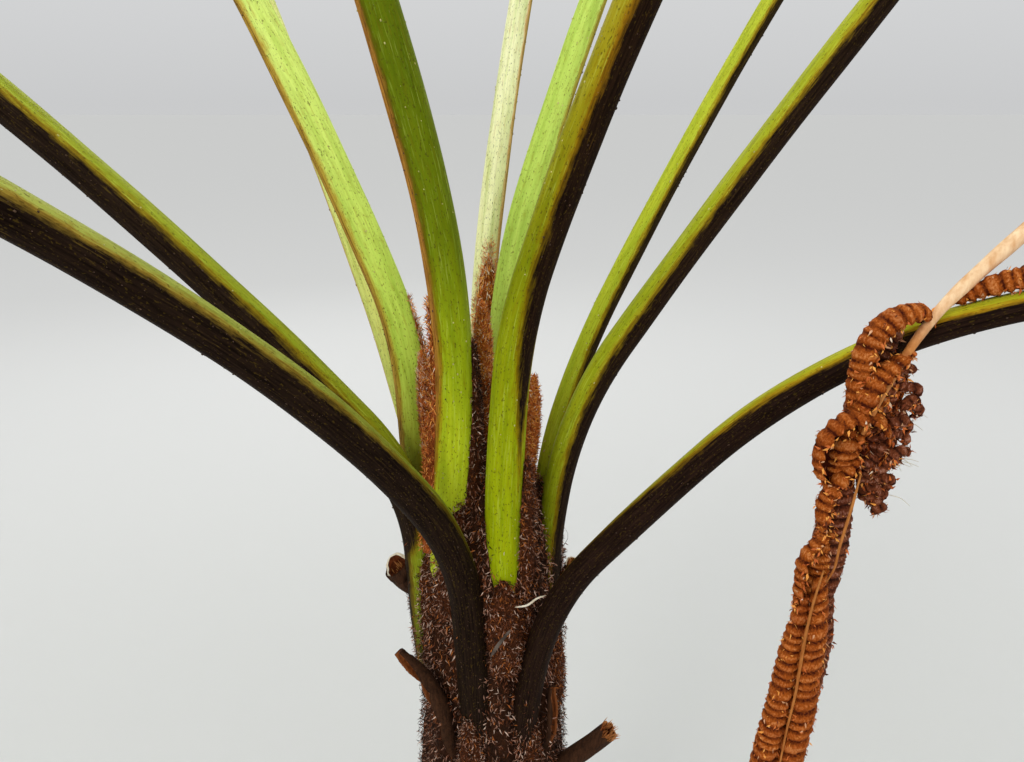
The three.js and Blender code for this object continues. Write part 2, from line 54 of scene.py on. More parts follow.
# Fronds. seat: turn, distance out and height of the stalk's foot. bends: slope at distances along the stalk.
# across: thickness at the foot, at the knee and at the first leaflets.
STALK = 600
KNEE = 250
TIP_ACROSS = 4
COURSE_STEP = 5
SEAT_ROUNDING = 50
SEAT_NARROWING = 0.28
FRONDS = [
    dict(name="front_right", facing=-31, seat=(-62, 55, 440), across=(22, 21, 14),
         bends=[(0, 88), (110, 76), (210, 55), (340, 52), (440, 38)], rises=(6, -32), swing=-6, reach=2250),
    dict(name="front_left", facing=-145, seat=(-104, 54, 455), across=(26, 27, 26),
         bends=[(0, 90), (120, 86), (240, 56), (400, 45)], rises=(36, -35), swing=6, reach=2350),
    dict(name="left", facing=180, seat=(-165, 54, 500), across=(30, 28, 25),
         bends=[(0, 90), (110, 86), (230, 50)], rises=(42, -42), swing=8, reach=2350),
    dict(name="right", facing=8, seat=(-15, 47, 530), across=(22, 22, 21),
         bends=[(0, 92), (130, 82), (260, 56)], rises=(52, -40), swing=-4, reach=2300),
    dict(name="right_thin", facing=34, seat=(12, 43, 620), across=(18, 17, 15),
         bends=[(0, 90), (100, 68), (200, 57)], rises=(49, -30), swing=4, reach=2150),
    dict(name="back_left", facing=150, seat=(164, 61, 545), across=(28, 27, 24),
         bends=[(0, 90), (180, 88), (280, 64)], rises=(55, -38), swing=0, reach=2350),
    dict(name="back_left_thin", facing=135, seat=(136, 62, 560), across=(23, 22, 20),
         bends=[(0, 78), (120, 70), (260, 62)], rises=(56, -14), swing=-24, reach=2200),
    dict(name="centre_left", facing=-132, seat=(-136, 48, 600), across=(32, 28, 22),
         bends=[(0, 98), (120, 94), (220, 83), (320, 73)], rises=(64, -36), swing=24, reach=2300),
    dict(name="back", facing=66, seat=(99, 60, 575), across=(21, 20, 18),
         bends=[(0, 92), (180, 86), (290, 73)], rises=(61, -36), swing=14, reach=2200),
    dict(name="back_right", facing=48, seat=(80, 36, 620), across=(23, 23, 20),
         bends=[(0, 92), (150, 84), (260, 65)], rises=(54, -44), swing=8, reach=2250),
    dict(name="centre_right", facing=-43, seat=(-76, 44, 560), across=(30, 26, 23),
         bends=[(0, 92), (200, 84), (290, 68)], rises=(58, -30), swing=-26, reach=2300),
]

# Leaflets, set out as in the solids: pairs along the rib, their length and width, the elbow where they
# bend, how they droop and sweep forward, in degrees, and how far they keep from each other and the stalks.
PAIRS = 18
CROWDING = 1.25
FIRST_PAIR = 0.02
LAST_PAIR = 0.985
LONGEST_LEAFLET = 360
LONGEST_AT = 0.38
FIRST_LEAFLET_SHARE = 0.5
LAST_LEAFLET_SHARE = 0.07
LEAFLET_FILL = 0.8
WIDEST_SHARE = 0.34
ROOT_INSET = 0.7
ELBOW_AT = 0.55
ELBOW_WIDTH = 0.72
LEAFLET_DROOP = (6, 17)
FORWARD_SWEEP = (12, 42)
CLEAR_OVER = 13
CLEAR_BESIDE = 10
CLEAR_OF_STALK = 9
NEAR_LEAFLETS = 40
NEAR_STALKS = 60
SAMPLE_STEP = 20
SHORTER_BY = (1, 0.85, 0.7, 0.55, 0.4)

# How each stalk is coloured. tint: its fresh colour, at distances along it. green: how far round from the
# upper side the fresh colour reaches, in degrees, at distances along it. turn: how far the pattern is turned
# sideways, in degrees. dark: the colour of the rest. hidden: how far up from its foot the scales cover it.
# The split between the fresh colour and the dark is partly the stalks' own two tones, green above and dark
# brown below, and partly painted shade: the dark reaches further round where a stalk lies in shade.
STALK_LOOKS = {
    # front_right and front_left are dark nearly all round at the foot, and their tints are darkest there:
    # partly their own dark brown and partly painted shade, as they lie in shade.
    "front_right": dict(
        tint=[(0, "#3d3f10"), (250, "#7d7d14"), (380, "#a8a51e"), (600, "#c6c42c")],
        green=[(0, -12), (150, -8), (230, 14), (320, 42), (600, 66)], dark="#2a1a12", hidden=14),
    "front_left": dict(
        tint=[(0, "#33330f"), (200, "#6c7416"), (600, "#b4ba58")],
        green=[(0, 4), (120, 18), (220, 42), (350, 50), (600, 58)], dark="#261910", hidden=10),
    "left": dict(
        tint=[(0, "#5a6412"), (150, "#8c971c"), (600, "#a0aa30")],
        green=[(0, 146), (110, 124), (150, 42), (300, 44), (600, 48)], dark="#2c1f15", hidden=30),
    "right": dict(
        tint=[(0, "#7a8410"), (120, "#949e14"), (600, "#b4ba2c")],
        green=[(0, 96), (110, 88), (240, 66), (380, 56), (600, 54)], dark="#2e1f14", hidden=12),
    "right_thin": dict(
        tint=[(0, "#9aa61c"), (150, "#b4c02c"), (600, "#bcc63a")],
        green=[(0, 84), (150, 64), (600, 58)], dark="#3a2c10", hidden=14),
    # back_left and back_left_thin are lightened towards their tops, up to near white, as painted light where
    # the light falls on them.
    "back_left": dict(
        tint=[(0, "#7e8414"), (110, "#9a9a22"), (220, "#c4de56"), (600, "#e2f488")],
        green=[(0, 112), (200, 96), (600, 90)], dark="#c49c3c", hidden=26),
    "back_left_thin": dict(
        tint=[(0, "#a8b43a"), (150, "#dfe878"), (600, "#f0f4a0")],
        green=[(0, 118), (600, 108)], dark="#aa9a38", hidden=20),
    # centre_left's tint darkens towards its top as painted shade, where that part lies shaded.
    "centre_left": dict(
        tint=[(0, "#b4c02c"), (110, "#c2d224"), (180, "#9cae14"), (270, "#6c7d0a"), (600, "#4e6206")],
        green=[(0, 200), (90, 166), (160, 150), (600, 148)], turn=25, dark="#c88e3c", hidden=40),
    # back and back_right are lightened up their length, back up to near white, as painted light where the
    # light falls on them.
    "back": dict(
        tint=[(0, "#dcd67c"), (120, "#f6f6b8"), (600, "#fbfcd2")],
        green=[(0, 90), (600, 78)], dark="#d6b852", hidden=40),
    "back_right": dict(
        tint=[(0, "#a4b834"), (120, "#bcd85c"), (600, "#cce670")],
        green=[(0, 104), (600, 92)], dark="#bcae42", hidden=40),
    "centre_right": dict(
        tint=[(0, "#a6b606"), (150, "#9caa0a"), (300, "#848c0a"), (420, "#a09418"), (600, "#b0a030")],
        green=[(0, 216), (130, 188), (220, 146), (300, 120), (600, 108)], dark="#2a1a0e", hidden=8),
}
# How many degrees the border of the fresh colour takes to fade, partly as painted soft shading across the
# stalk.
STALK_BLUR = 58


# Small tools

def mix(a, b, t):
    return a + (b - a) * t


def smooth(t):
    t = np.clip(t, 0, 1)
    return t * t * (3 - 2 * t)


def chain(pairs, x):
    return np.interp(x, [place for place, _ in pairs], [value for _, value in pairs])


def even(values, t):
    """Evenly spaced values, read at shares of their run."""
    return np.interp(t, np.linspace(0, 1, len(values)), values)


def rows_at(x, places, rows):
    """Rows of values, each for one place, read at the places x."""
    return np.stack([np.interp(x, places, column) for column in rows.T], -1)


def colour(code):
    """A hex colour as linear light."""
    parts = [int(code[i:i + 2], 16) / 255 for i in (1, 3, 5)]
    return np.array([c / 12.92 if c < 0.04045 else ((c + 0.055) / 1.055) ** 2.4 for c in parts])


def colour_chain(pairs, x):
    return rows_at(x, [place for place, _ in pairs], np.array([colour(code) for _, code in pairs]))


def unit(v):
    return v / np.linalg.norm(v, axis=-1, keepdims=True)


def uneven(a, b, c):
    """A small uneven number from -1 to 1, the same for the same place in the plant."""
    wave = math.sin(a * 12.9898 + b * 78.233 + c * 37.719) * 43758.5453
    return 2 * (wave - math.floor(wave)) - 1


def put(name, data):
    """A new object in the scene."""
    thing = bpy.data.objects.new(name, data)
    bpy.context.scene.collection.objects.link(thing)
    return thing


class Bundle:
    """Surfaces gathered into one mesh, with values for each point and a material number for each face."""

    def __init__(self):
        self.points, self.faces, self.values, self.kinds = [], [], {}, []
        self.count = 0

    def add(self, points, faces, kind=0, **values):
        points = np.asarray(points, float).reshape(-1, 3)
        blocks = faces if isinstance(faces, list) else [faces]
        kinds = kind if isinstance(kind, list) else [kind] * len(blocks)
        for block, block_kind in zip(blocks, kinds):
            self.faces.append(np.asarray(block) + self.count)
            self.kinds.append(np.broadcast_to(block_kind, (len(block),)))
        for name, value in values.items():
            value = np.asarray(value, float)
            wide = (len(points), 3) if value.ndim and value.shape[-1] == 3 else (len(points),)
            self.values.setdefault(name, []).append(np.broadcast_to(value, wide))
        self.points.append(points)
        self.count += len(points)

    def make(self, name, materials, slot, stands_for=()):
        mesh = bpy.data.meshes.new(name)
        points = np.concatenate(self.points) * MM
        mesh.vertices.add(len(points))
        mesh.vertices.foreach_set("co", points.astype(np.float32).ravel())
        loops = np.concatenate([block.ravel() for block in self.faces]).astype(np.int32)
        sizes = np.concatenate([np.full(len(block), block.shape[1]) for block in self.faces])
        starts = np.concatenate([[0], np.cumsum(sizes)[:-1]]).astype(np.int32)
        mesh.loops.add(len(loops))
        mesh.loops.foreach_set("vertex_index", loops)
        mesh.polygons.add(len(starts))
        mesh.polygons.foreach_set("loop_start", starts)
        mesh.polygons.foreach_set("use_smooth", np.ones(len(starts), bool))
        mesh.polygons.foreach_set("material_index", np.concatenate(self.kinds).astype(np.int32))
        for key, blocks in self.values.items():
            data = np.concatenate(blocks).astype(np.float32)
            if data.ndim == 2:
                mesh.attributes.new(key, "FLOAT_VECTOR", "POINT").data.foreach_set("vector", data.ravel())
            else:
                mesh.attributes.new(key, "FLOAT", "POINT").data.foreach_set("value", data)
        mesh.update(calc_edges=True)
        for material in materials if isinstance(materials, list) else [materials]:
            mesh.materials.append(material)
        piece = put(name, mesh)
        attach(piece, "root")
        if stands_for:
            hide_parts(*stands_for)


def band_faces(rows, columns):
    """Quads between rings of points."""
    i, j = np.meshgrid(np.arange(rows - 1), np.arange(columns), indexing="ij")
    after = (j + 1) % columns
    corners = (i * columns + j, (i + 1) * columns + j, (i + 1) * columns + after, i * columns + after)
    return np.stack([c.ravel() for c in corners], 1)


def cap_faces(first, columns, tip, flipped):
    """Triangles from a ring of points to one point."""
    j = np.arange(columns)
    near, far = (j + 1, j) if flipped else (j, j + 1)
    return np.stack([first + near % columns, first + far % columns, np.full(columns, tip)], 1)


def tube_points(places, sides, ups, radius, around):
    """Rings of points. radius is one number, one for each ring, or one for each point."""
    radius = np.asarray(radius, float)
    if radius.ndim == 1:
        radius = radius[:, None]
    around = np.atleast_2d(around)[..., None]
    outward = np.cos(around) * ups[:, None] + np.sin(around) * sides[:, None]
    return places[:, None] + radius[..., None] * outward


def turns(columns):
    return FULL_TURN * np.arange(columns) / columns


def add_rings(bundle, rings, ends, **values):
    """A closed surface over rings of points, with a point in the middle of each end. A value is one for the
    whole surface, one for each ring, or one for each point of each ring."""
    rows, columns = rings.shape[:2]
    count = rows * columns
    spread = {}
    for name, value in values.items():
        value = np.asarray(value, float)
        if value.shape[:2] == (rows, columns):
            value = value.reshape((count,) + value.shape[2:])
        elif value.ndim:
            value = np.repeat(value, columns, 0)
        spread[name] = np.concatenate([value, value[:1], value[-1:]]) if value.ndim else value
    caps = [cap_faces(0, columns, count, False), cap_faces(count - columns, columns, count + 1, True)]
    faces = [band_faces(rows, columns), np.concatenate(caps)]
    bundle.add(np.concatenate([rings.reshape(-1, 3), *ends]), faces, **spread)


def add_tube(bundle, places, sides, ups, radius, columns, **values):
    """A closed tube along a run of places."""
    rings = tube_points(places, sides, ups, radius, turns(columns))
    add_rings(bundle, rings, (places[:1], places[-1:]), **values)


def side_frames(places, reference):
    """Directions along a run of places, with two more square to them. reference is a rough upper side."""
    ahead = unit(np.gradient(places, axis=0))
    reference = np.broadcast_to(np.asarray(reference, float), places.shape)
    sides = unit(np.cross(reference, ahead))
    return ahead, sides, np.cross(ahead, sides)


def add_run(bundle, places, reference, radius, columns, **values):
    """A closed tube along a run of places, turned by a rough upper side."""
    _, sides, ups = side_frames(places, reference)
    add_tube(bundle, places, sides, ups, radius, columns, **values)


def smooth_course(points, count):
    """Evenly spaced places on a centripetal Catmull-Rom curve through the points."""
    points = np.asarray(points, float)
    ends = np.concatenate([[2 * points[0] - points[1]], points, [2 * points[-1] - points[-2]]])
    fine = []
    t = np.linspace(0, 1, 24, endpoint=False)[:, None]
    for p0, p1, p2, p3 in zip(ends, ends[1:], ends[2:], ends[3:]):
        d0, d1, d2 = (max(1e-4, np.linalg.norm(b - a) ** 0.5) for a, b in ((p0, p1), (p1, p2), (p2, p3)))
        t1 = ((p1 - p0) / d0 - (p2 - p0) / (d0 + d1) + (p2 - p1) / d1) * d1
        t2 = ((p2 - p1) / d1 - (p3 - p1) / (d1 + d2) + (p3 - p2) / d2) * d1
        fine.append(p1 + t * t1 + t ** 2 * (3 * (p2 - p1) - 2 * t1 - t2) + t ** 3 * (2 * (p1 - p2) + t1 + t2))
    fine = np.concatenate(fine + [points[-1:]])
    run = np.concatenate([[0], np.cumsum(np.linalg.norm(np.diff(fine, axis=0), axis=1))])
    return rows_at(np.linspace(0, run[-1], count), run, fine)


def place_copies(bundle, template, faces, origins, axes, sizes, kind=0):
    """Copies of a small surface. axes holds three directions for each copy, and sizes a scale along each."""
    points = origins[:, None, :] + np.einsum("nkc,ncx->nkx", template[None] * sizes[:, None, :], axes)
    shift = (np.arange(len(origins)) * len(template))[:, None, None]
    bundle.add(points, [(shift + block[None]).reshape(-1, block.shape[1]) for block in faces], kind)


# Fronds: course, thickness and leaflets

class Course:
    """The rib of a frond: where it runs and which way it faces, at distances along it."""

    def __init__(self, frond):
        reach = frond["reach"]
        s = np.arange(0, reach + COURSE_STEP + 1e-9, COURSE_STEP)
        share = np.maximum(0, (s - STALK) / (reach - STALK))
        facing = np.radians(frond["facing"] + frond["swing"] * share)
        slopes = frond["bends"] + [(STALK, frond["rises"][0]), (reach, frond["rises"][1])]
        slope = np.radians(chain(slopes, s))
        level = np.cos(slope)
        self.ahead = np.stack([level * np.cos(facing), level * np.sin(facing), np.sin(slope)], 1)
        self.side = np.stack([-np.sin(facing), np.cos(facing), np.zeros_like(s)], 1)
        self.up = np.cross(self.ahead, self.side)
        turn, out, height = frond["seat"]
        turn = math.radians(turn)
        foot = np.array([out * math.cos(turn), out * math.sin(turn), height])
        self.place = foot + np.concatenate([np.zeros((1, 3)), np.cumsum(self.ahead * COURSE_STEP, 0)[:-1]])

    def at(self, s):
        s = np.atleast_1d(np.asarray(s, float))
        i = np.clip((s // COURSE_STEP).astype(int), 0, len(self.place) - 2)
        place = self.place[i] + self.ahead[i] * (s - i * COURSE_STEP)[:, None]
        return place, self.ahead[i], self.side[i], self.up[i]


def rib_radius(frond, s):
    base, knee, end = frond["across"]
    across = chain([(0, base), (KNEE, knee), (STALK, end), (frond["reach"], TIP_ACROSS)], s)
    near = np.minimum(1, np.maximum(0, s) / SEAT_ROUNDING)
    return across / 2 * (1 - SEAT_NARROWING * (1 - np.sqrt(near)))


def pair_places(frond):
    k = np.arange(PAIRS) / (PAIRS - 1)
    return STALK + (frond["reach"] - STALK) * mix(FIRST_PAIR, LAST_PAIR, 1 - (1 - k) ** CROWDING)


def leaflet_length(share):
    if share < LONGEST_AT:
        return LONGEST_LEAFLET * mix(FIRST_LEAFLET_SHARE, 1, math.sin(math.pi / 2 * share / LONGEST_AT))
    return LONGEST_LEAFLET * max(LAST_LEAFLET_SHARE, ((1 - share) / (1 - LONGEST_AT)) ** 0.75)


def leaflet_plan(index, frond, course, pair, places, hand, shortening):
    """A leaflet as two flat panels, joined at an elbow."""
    s = places[pair]
    share = (s - STALK) / (frond["reach"] - STALK)
    spacing = places[pair + 1] - s if pair < PAIRS - 1 else s - places[pair - 1]
    place, ahead, side, up = (value[0] for value in course.at(s))
    sweep = math.radians(mix(*FORWARD_SWEEP, share ** 1.5) + 3 * uneven(index, pair, hand))
    full = leaflet_length(share) * (1 + 0.07 * uneven(index + 3, pair, hand))
    length = full * shortening
    outward = side * hand * math.cos(sweep) + ahead * math.sin(sweep)
    across = unit(ahead - outward * ahead.dot(outward))
    width = min(LEAFLET_FILL * spacing * math.cos(sweep), WIDEST_SHARE * full)
    start = place + side * hand * rib_radius(frond, s) * ROOT_INSET
    lengths = (ELBOW_AT * length, (1 - ELBOW_AT) * length)
    widths = ((width, width * ELBOW_WIDTH), (width * ELBOW_WIDTH, 0))
    panels = []
    for i, droop in enumerate(LEAFLET_DROOP):
        tilt = math.radians(droop + 4 * uneven(index + 7, pair, hand + i))
        direction = outward * math.cos(tilt) - up * math.sin(tilt)
        panels.append(dict(start=start, direction=direction, across=across,
                           face=np.cross(direction, across) * -hand, length=lengths[i], widths=widths[i]))
        start = start + direction * lengths[i]
    return dict(length=length, width=width, panels=panels, up=up)


def panel_samples(panel):
    rows = max(1, math.ceil(panel["length"] / SAMPLE_STEP))
    samples = []
    for i in range(rows + 1):
        width = mix(*panel["widths"], i / rows)
        columns = max(1, math.ceil(width / SAMPLE_STEP))
        offsets = width * (np.arange(columns + 1) / columns - 0.5)
        samples.append(panel["start"] + panel["direction"] * (panel["length"] * i / rows)
                       + offsets[:, None] * panel["across"])
    return np.concatenate(samples)


class Filled:
    """What the fronds that are already set out fill: panels, and samples of them."""

    def __init__(self):
        self.plans = []

    def add(self, plans):
        for plan in plans:
            plan["samples"] = np.concatenate([panel_samples(panel) for panel in plan["panels"]])
            self.plans.append(plan)

    def near(self, plan):
        root = plan["panels"][0]["start"]
        reach = plan["length"] + LONGEST_LEAFLET + NEAR_LEAFLETS
        return [p for p in self.plans if np.linalg.norm(p["panels"][0]["start"] - root) < reach]


def panels_reach(panels, points):
    """Whether any of the panels comes near any of the points."""
    start, direction, across, face, length, widths = (
        np.array([panel[key] for panel in panels])
        for key in ("start", "direction", "across", "face", "length", "widths"))
    near, far = widths.T
    offset = points[:, None, :] - start[None]
    forth = np.einsum("npx,px->np", offset, direction)
    over = np.abs(np.einsum("npx,px->np", offset, face))
    beside = np.abs(np.einsum("npx,px->np", offset, across))
    width = near + (far - near) * np.clip(forth / length, 0, 1)
    inside = (forth >= -CLEAR_BESIDE) & (forth <= length + CLEAR_BESIDE) & (over <= CLEAR_OVER)
    return bool((inside & (beside < width / 2 + CLEAR_BESIDE)).any())


def is_crowded(plan, ribs, radii, filled):
    samples = np.concatenate([panel_samples(panel) for panel in plan["panels"]])
    close = np.linalg.norm(ribs - plan["panels"][0]["start"], axis=1) < plan["length"] + NEAR_STALKS
    if close.any():
        gaps = np.linalg.norm(samples[:, None] - ribs[close][None], axis=2)
        if (gaps < radii[close][None] + CLEAR_OF_STALK + SAMPLE_STEP / 2).any():
            return True
    others = filled.near(plan)
    if not others:
        return False
    if panels_reach([panel for other in others for panel in other["panels"]], samples):
        return True
    return panels_reach(plan["panels"], np.concatenate([other["samples"] for other in others]))


def set_out_leaflets(courses):
    """Every frond's leaflets, from the lowest frond to the highest, so that none meets another."""
    samples = []
    for frond, course in zip(FRONDS, courses):
        s = np.arange(0, frond["reach"] + 1e-9, SAMPLE_STEP)
        samples.append((course.at(s)[0], rib_radius(frond, s)))
    filled = Filled()
    leaflets = []
    for index, (frond, course) in enumerate(zip(FRONDS, courses)):
        ribs = np.concatenate([places for i, (places, _) in enumerate(samples) if i != index])
        radii = np.concatenate([radius for i, (_, radius) in enumerate(samples) if i != index])
        places = pair_places(frond)
        own = []
        for pair in range(PAIRS):
            for hand in (1, -1):
                for share in SHORTER_BY:
                    plan = leaflet_plan(index, frond, course, pair, places, hand, share)
                    if not is_crowded(plan, ribs, radii, filled):
                        own.append(plan)
                        break
        filled.add(own)
        leaflets.append(own)
    return leaflets


# Materials

class Paint:
    """A node material, built a node at a time. Its noises are sized for metres."""

    def __init__(self, name, roughness=0.6, specular=0.4):
        self.material = bpy.data.materials.new(name)
        self.material.use_nodes = True
        self.tree = self.material.node_tree
        self.shader = self.tree.nodes["Principled BSDF"]
        self.shader.inputs["Roughness"].default_value = roughness
        self.shader.inputs["Specular IOR Level"].default_value = specular

    def node(self, kind, inputs=None, **settings):
        node = self.tree.nodes.new("ShaderNode" + kind)
        for key, value in settings.items():
            setattr(node, key, value)
        for key, value in (inputs or {}).items():
            self.feed(node.inputs[key], value)
        return node

    def feed(self, socket, value):
        if isinstance(value, bpy.types.NodeSocket):
            self.tree.links.new(value, socket)
        elif isinstance(value, (tuple, list, np.ndarray)) and len(value) == 3 and socket.type == "RGBA":
            socket.default_value = (*value, 1)
        else:
            socket.default_value = value

    def stored(self, name, output="Fac"):
        return self.node("Attribute", attribute_name=name).outputs[output]

    def place(self):
        return self.node("TexCoord").outputs["Object"]

    def stretched(self, vector, scale):
        return self.node("Mapping", {"Vector": vector, "Scale": scale}).outputs["Vector"]

    def noise(self, vector, scale=1.0, detail=3.0, roughness=0.55):
        inputs = {"Vector": vector, "Scale": scale, "Detail": detail, "Roughness": roughness}
        return self.node("TexNoise", inputs).outputs["Fac"]

    def spread(self, value, low, high, to_low=0.0, to_high=1.0):
        inputs = {"Value": value, "From Min": low, "From Max": high, "To Min": to_low, "To Max": to_high}
        return self.node("MapRange", inputs).outputs["Result"]

    def blend(self, share, first, second, mode="MIX"):
        node = self.node("Mix", data_type="RGBA", blend_type=mode)
        self.feed(node.inputs["Factor"], share)
        self.feed(node.inputs[6], first)
        self.feed(node.inputs[7], second)
        return node.outputs[2]

    def sum(self, first, second, operation="ADD"):
        node = self.node("Math", operation=operation)
        self.feed(node.inputs[0], first)
        self.feed(node.inputs[1], second)
        return node.outputs[0]

    def finish(self, base, roughness=None, height=None, depth=0.0004, strength=0.6):
        self.feed(self.shader.inputs["Base Color"], base)
        if roughness is not None:
            self.feed(self.shader.inputs["Roughness"], roughness)
        if height is not None:
            bump = self.node("Bump", {"Height": height, "Distance": depth, "Strength": strength})
            self.feed(self.shader.inputs["Normal"], bump.outputs["Normal"])
        return self.material


def stalk_material():
    """Fresh on the upper side and dark below, partly the stalk's own two tones and partly painted shade,
    with a brownish border, fine streaks and small dark specks.
    """
    paint = Paint("stalk_skin", 0.55, 0.04)
    straight = paint.stored("straight", "Vector")
    streaks = paint.noise(paint.stretched(straight, (900, 900, 42)), 1.0, 4.0, 0.6)
    broad = paint.noise(paint.stretched(straight, (190, 190, 16)), 1.0, 3.0)
    blotches = paint.noise(paint.stretched(straight, (330, 330, 90)), 1.0, 4.0, 0.65)
    specks = paint.noise(paint.stretched(straight, (950, 950, 430)), 1.0, 1.0)
    flecks = paint.noise(paint.stretched(straight, (1500, 1500, 620)), 1.0, 1.0)
    tint = paint.stored("tint", "Color")
    fresh = paint.blend(paint.spread(broad, 0.42, 0.72, 0, 0.7), tint, (0.58, 0.66, 0.4), "MULTIPLY")
    fresh = paint.blend(paint.spread(blotches, 0.5, 0.72, 0, 0.5), fresh, (0.7, 0.62, 0.4), "MULTIPLY")
    fresh = paint.blend(paint.spread(streaks, 0.5, 0.75, 0, 0.3), fresh, colour("#8a6c14"))
    fresh = paint.blend(paint.spread(streaks, 0.45, 0.22, 0, 0.35), fresh, colour("#dfe86c"))
    border = paint.blend(1.0, tint, (0.8, 0.46, 0.3), "MULTIPLY")
    under = paint.stored("under", "Color")
    # The dark side is darkened further along its streaks: partly its own dark streaks and partly painted
    # shade.
    dark = paint.blend(paint.spread(streaks, 0.35, 0.65), under, (0.26, 0.2, 0.15), "MULTIPLY")
    edge = paint.sum(paint.stored("shade"), paint.spread(streaks, 0, 1, -0.35, 0.35))
    edge = paint.sum(edge, paint.spread(blotches, 0, 1, -0.35, 0.35))
    skin = paint.blend(paint.spread(edge, 0.14, 0.5), fresh, border)
    skin = paint.blend(paint.spread(edge, 0.42, 0.86), skin, dark)
    skin = paint.blend(paint.spread(specks, 0.62, 0.7, 0, 0.6), skin, colour("#4a3a10"))
    skin = paint.blend(paint.spread(flecks, 0.765, 0.78, 0, 0.4), skin, colour("#a08070"))
    height = paint.sum(streaks, paint.spread(specks, 0.64, 0.72, 0, 1.0))
    worn = paint.spread(paint.stored("shade"), 0, 1, 0, 0.2)
    roughness = paint.sum(paint.spread(broad, 0, 1, 0.36, 0.6), worn)
    return paint.finish(skin, roughness, height, 0.0003, 0.5)


def rough_material(name, dark, light, scale, stretch=(1, 1, 1), roughness=0.85, depth=0.0012, strength=0.7):
    """A dull, fibrous or crumpled surface between two colours."""
    paint = Paint(name, roughness, 0.08)
    place = paint.stretched(paint.place(), stretch)
    coarse = paint.noise(place, scale, 5.0, 0.65)
    fine = paint.noise(place, scale * 4.3, 3.0, 0.6)
    share = paint.sum(paint.spread(coarse, 0.32, 0.7, 0, 0.75), paint.spread(fine, 0.3, 0.75, 0, 0.4))
    return paint.finish(paint.blend(share, colour(dark), colour(light)), None,
                        paint.sum(coarse, fine), depth, strength)


def flake_material(name, code, lighter, roughness=0.65, specular=0.12):
    """The thin dry skin of a scale, hair or leaf: one colour, varied a little."""
    paint = Paint(name, roughness, specular)
    patches = paint.noise(paint.place(), 60.0, 2.0)
    return paint.finish(paint.blend(paint.spread(patches, 0.3, 0.7), colour(code), colour(lighter)))


def withered_material(name, deep, middle, pale):
    """Rolled dry leaf: deep between the ridges and pale on their backs, as painted shade in the folds and
    hollows and painted highlights on the ridges' backs.
    """
    paint = Paint(name, 0.75, 0.08)
    veins = paint.noise(paint.stretched(paint.place(), (900, 900, 620)), 1.0, 5.0, 0.65)
    broad = paint.noise(paint.place(), 80.0, 3.0)
    ridge = paint.sum(paint.stored("ridge"), paint.spread(veins, 0.2, 0.8, -0.45, 0.45))
    skin = paint.blend(paint.spread(ridge, 0.25, 0.9), colour(deep), colour(middle))
    skin = paint.blend(paint.spread(ridge, 0.82, 1.2, 0, 0.8), skin, colour(pale))
    skin = paint.blend(paint.spread(broad, 0.42, 0.7, 0, 0.7), skin, (0.6, 0.45, 0.45), "MULTIPLY")
    return paint.finish(skin, None, paint.sum(veins, broad), 0.0009, 0.9)


def dry_rib_material():
    """Pale where the dead rib is bare, and tan where the rolled leaflets cling to it."""
    paint = Paint("dry_rib", 0.6, 0.2)
    streaks = paint.noise(paint.stretched(paint.place(), (260, 260, 90)), 1.0, 4.0)
    pale = paint.blend(paint.spread(streaks, 0.3, 0.7), colour("#dba470"), colour("#ffe0b6"))
    tan = paint.blend(paint.spread(streaks, 0.3, 0.7), colour("#9a5420"), colour("#cf8a48"))
    return paint.finish(paint.blend(paint.stored("clinging"), pale, tan), None, streaks, 0.0004, 0.5)


MATERIALS = {
    "stalk": stalk_material(),
    "knob": flake_material("stalk_knob", "#8a8434", "#d8d088", 0.5),
    "dark_knob": flake_material("stalk_dark_knob", "#20160f", "#5c4636", 0.6),
    "bark": rough_material("trunk_bark", "#140c07", "#4a2a18", 240, (1, 1, 0.3), 0.95, 0.002, 0.9),
    "root": rough_material("trunk_root", "#1a100a", "#4c2e1b", 420, (1, 1, 0.12), 0.9, 0.0006, 0.8),
    "old_base": rough_material("old_leaf_base", "#150d09", "#432a1c", 300, (1, 1, 0.1), 0.9, 0.001, 0.8),
    "mat": rough_material("scale_mat", "#22130a", "#703c20", 620, (1, 1, 0.6), 0.95, 0.002, 0.9),
    "hair_mat": rough_material("hair_mat", "#6a2c12", "#c86c30", 620, (1, 1, 0.4), 0.95, 0.002, 0.9),
    "fibre": flake_material("black_fibre", "#0e0a08", "#2a1a12", 0.6),
    "stub": rough_material("stub_skin", "#1c110b", "#4f3220", 380, (1, 1, 0.14), 0.85, 0.0008, 0.8),
    "stub_inside": rough_material("stub_inside", "#2a120a", "#7d3d1c", 700, (1, 1, 0.5), 0.95, 0.001, 0.9),
    "channel": rough_material("channel_inside", "#46210f", "#96562a", 420, (1, 1, 0.16), 0.8, 0.0008, 0.8),
    "cut_rim": flake_material("stub_rim", "#c8b494", "#f4ead2", 0.7),
    "torn": flake_material("torn_fibre", "#8a4a22", "#c98a4c", 0.6),
    # The crozier skin is lightened as painted light, where the stalks shade the croziers.
    "crozier": rough_material("crozier_skin", "#7a3416", "#d67834", 420, (1, 1, 0.6), 0.85, 0.001, 0.8),
    "withered": withered_material("withered_orange", "#481604", "#ae5718", "#dd9458"),
    "withered_dull": withered_material("withered_brown", "#2e1006", "#7c4024", "#c08e78"),
    "dry_rib": dry_rib_material(),
    "rope_rib": rough_material("rope_rib", "#8a4818", "#c88444", 300, (1, 1, 0.2), 0.65, 0.0004, 0.5),
    "straw": flake_material("straw_flake", "#b8a88c", "#ece4d4", 0.6),
    "grey_bit": flake_material("grey_flake", "#3c322b", "#6f6258", 0.6),
}

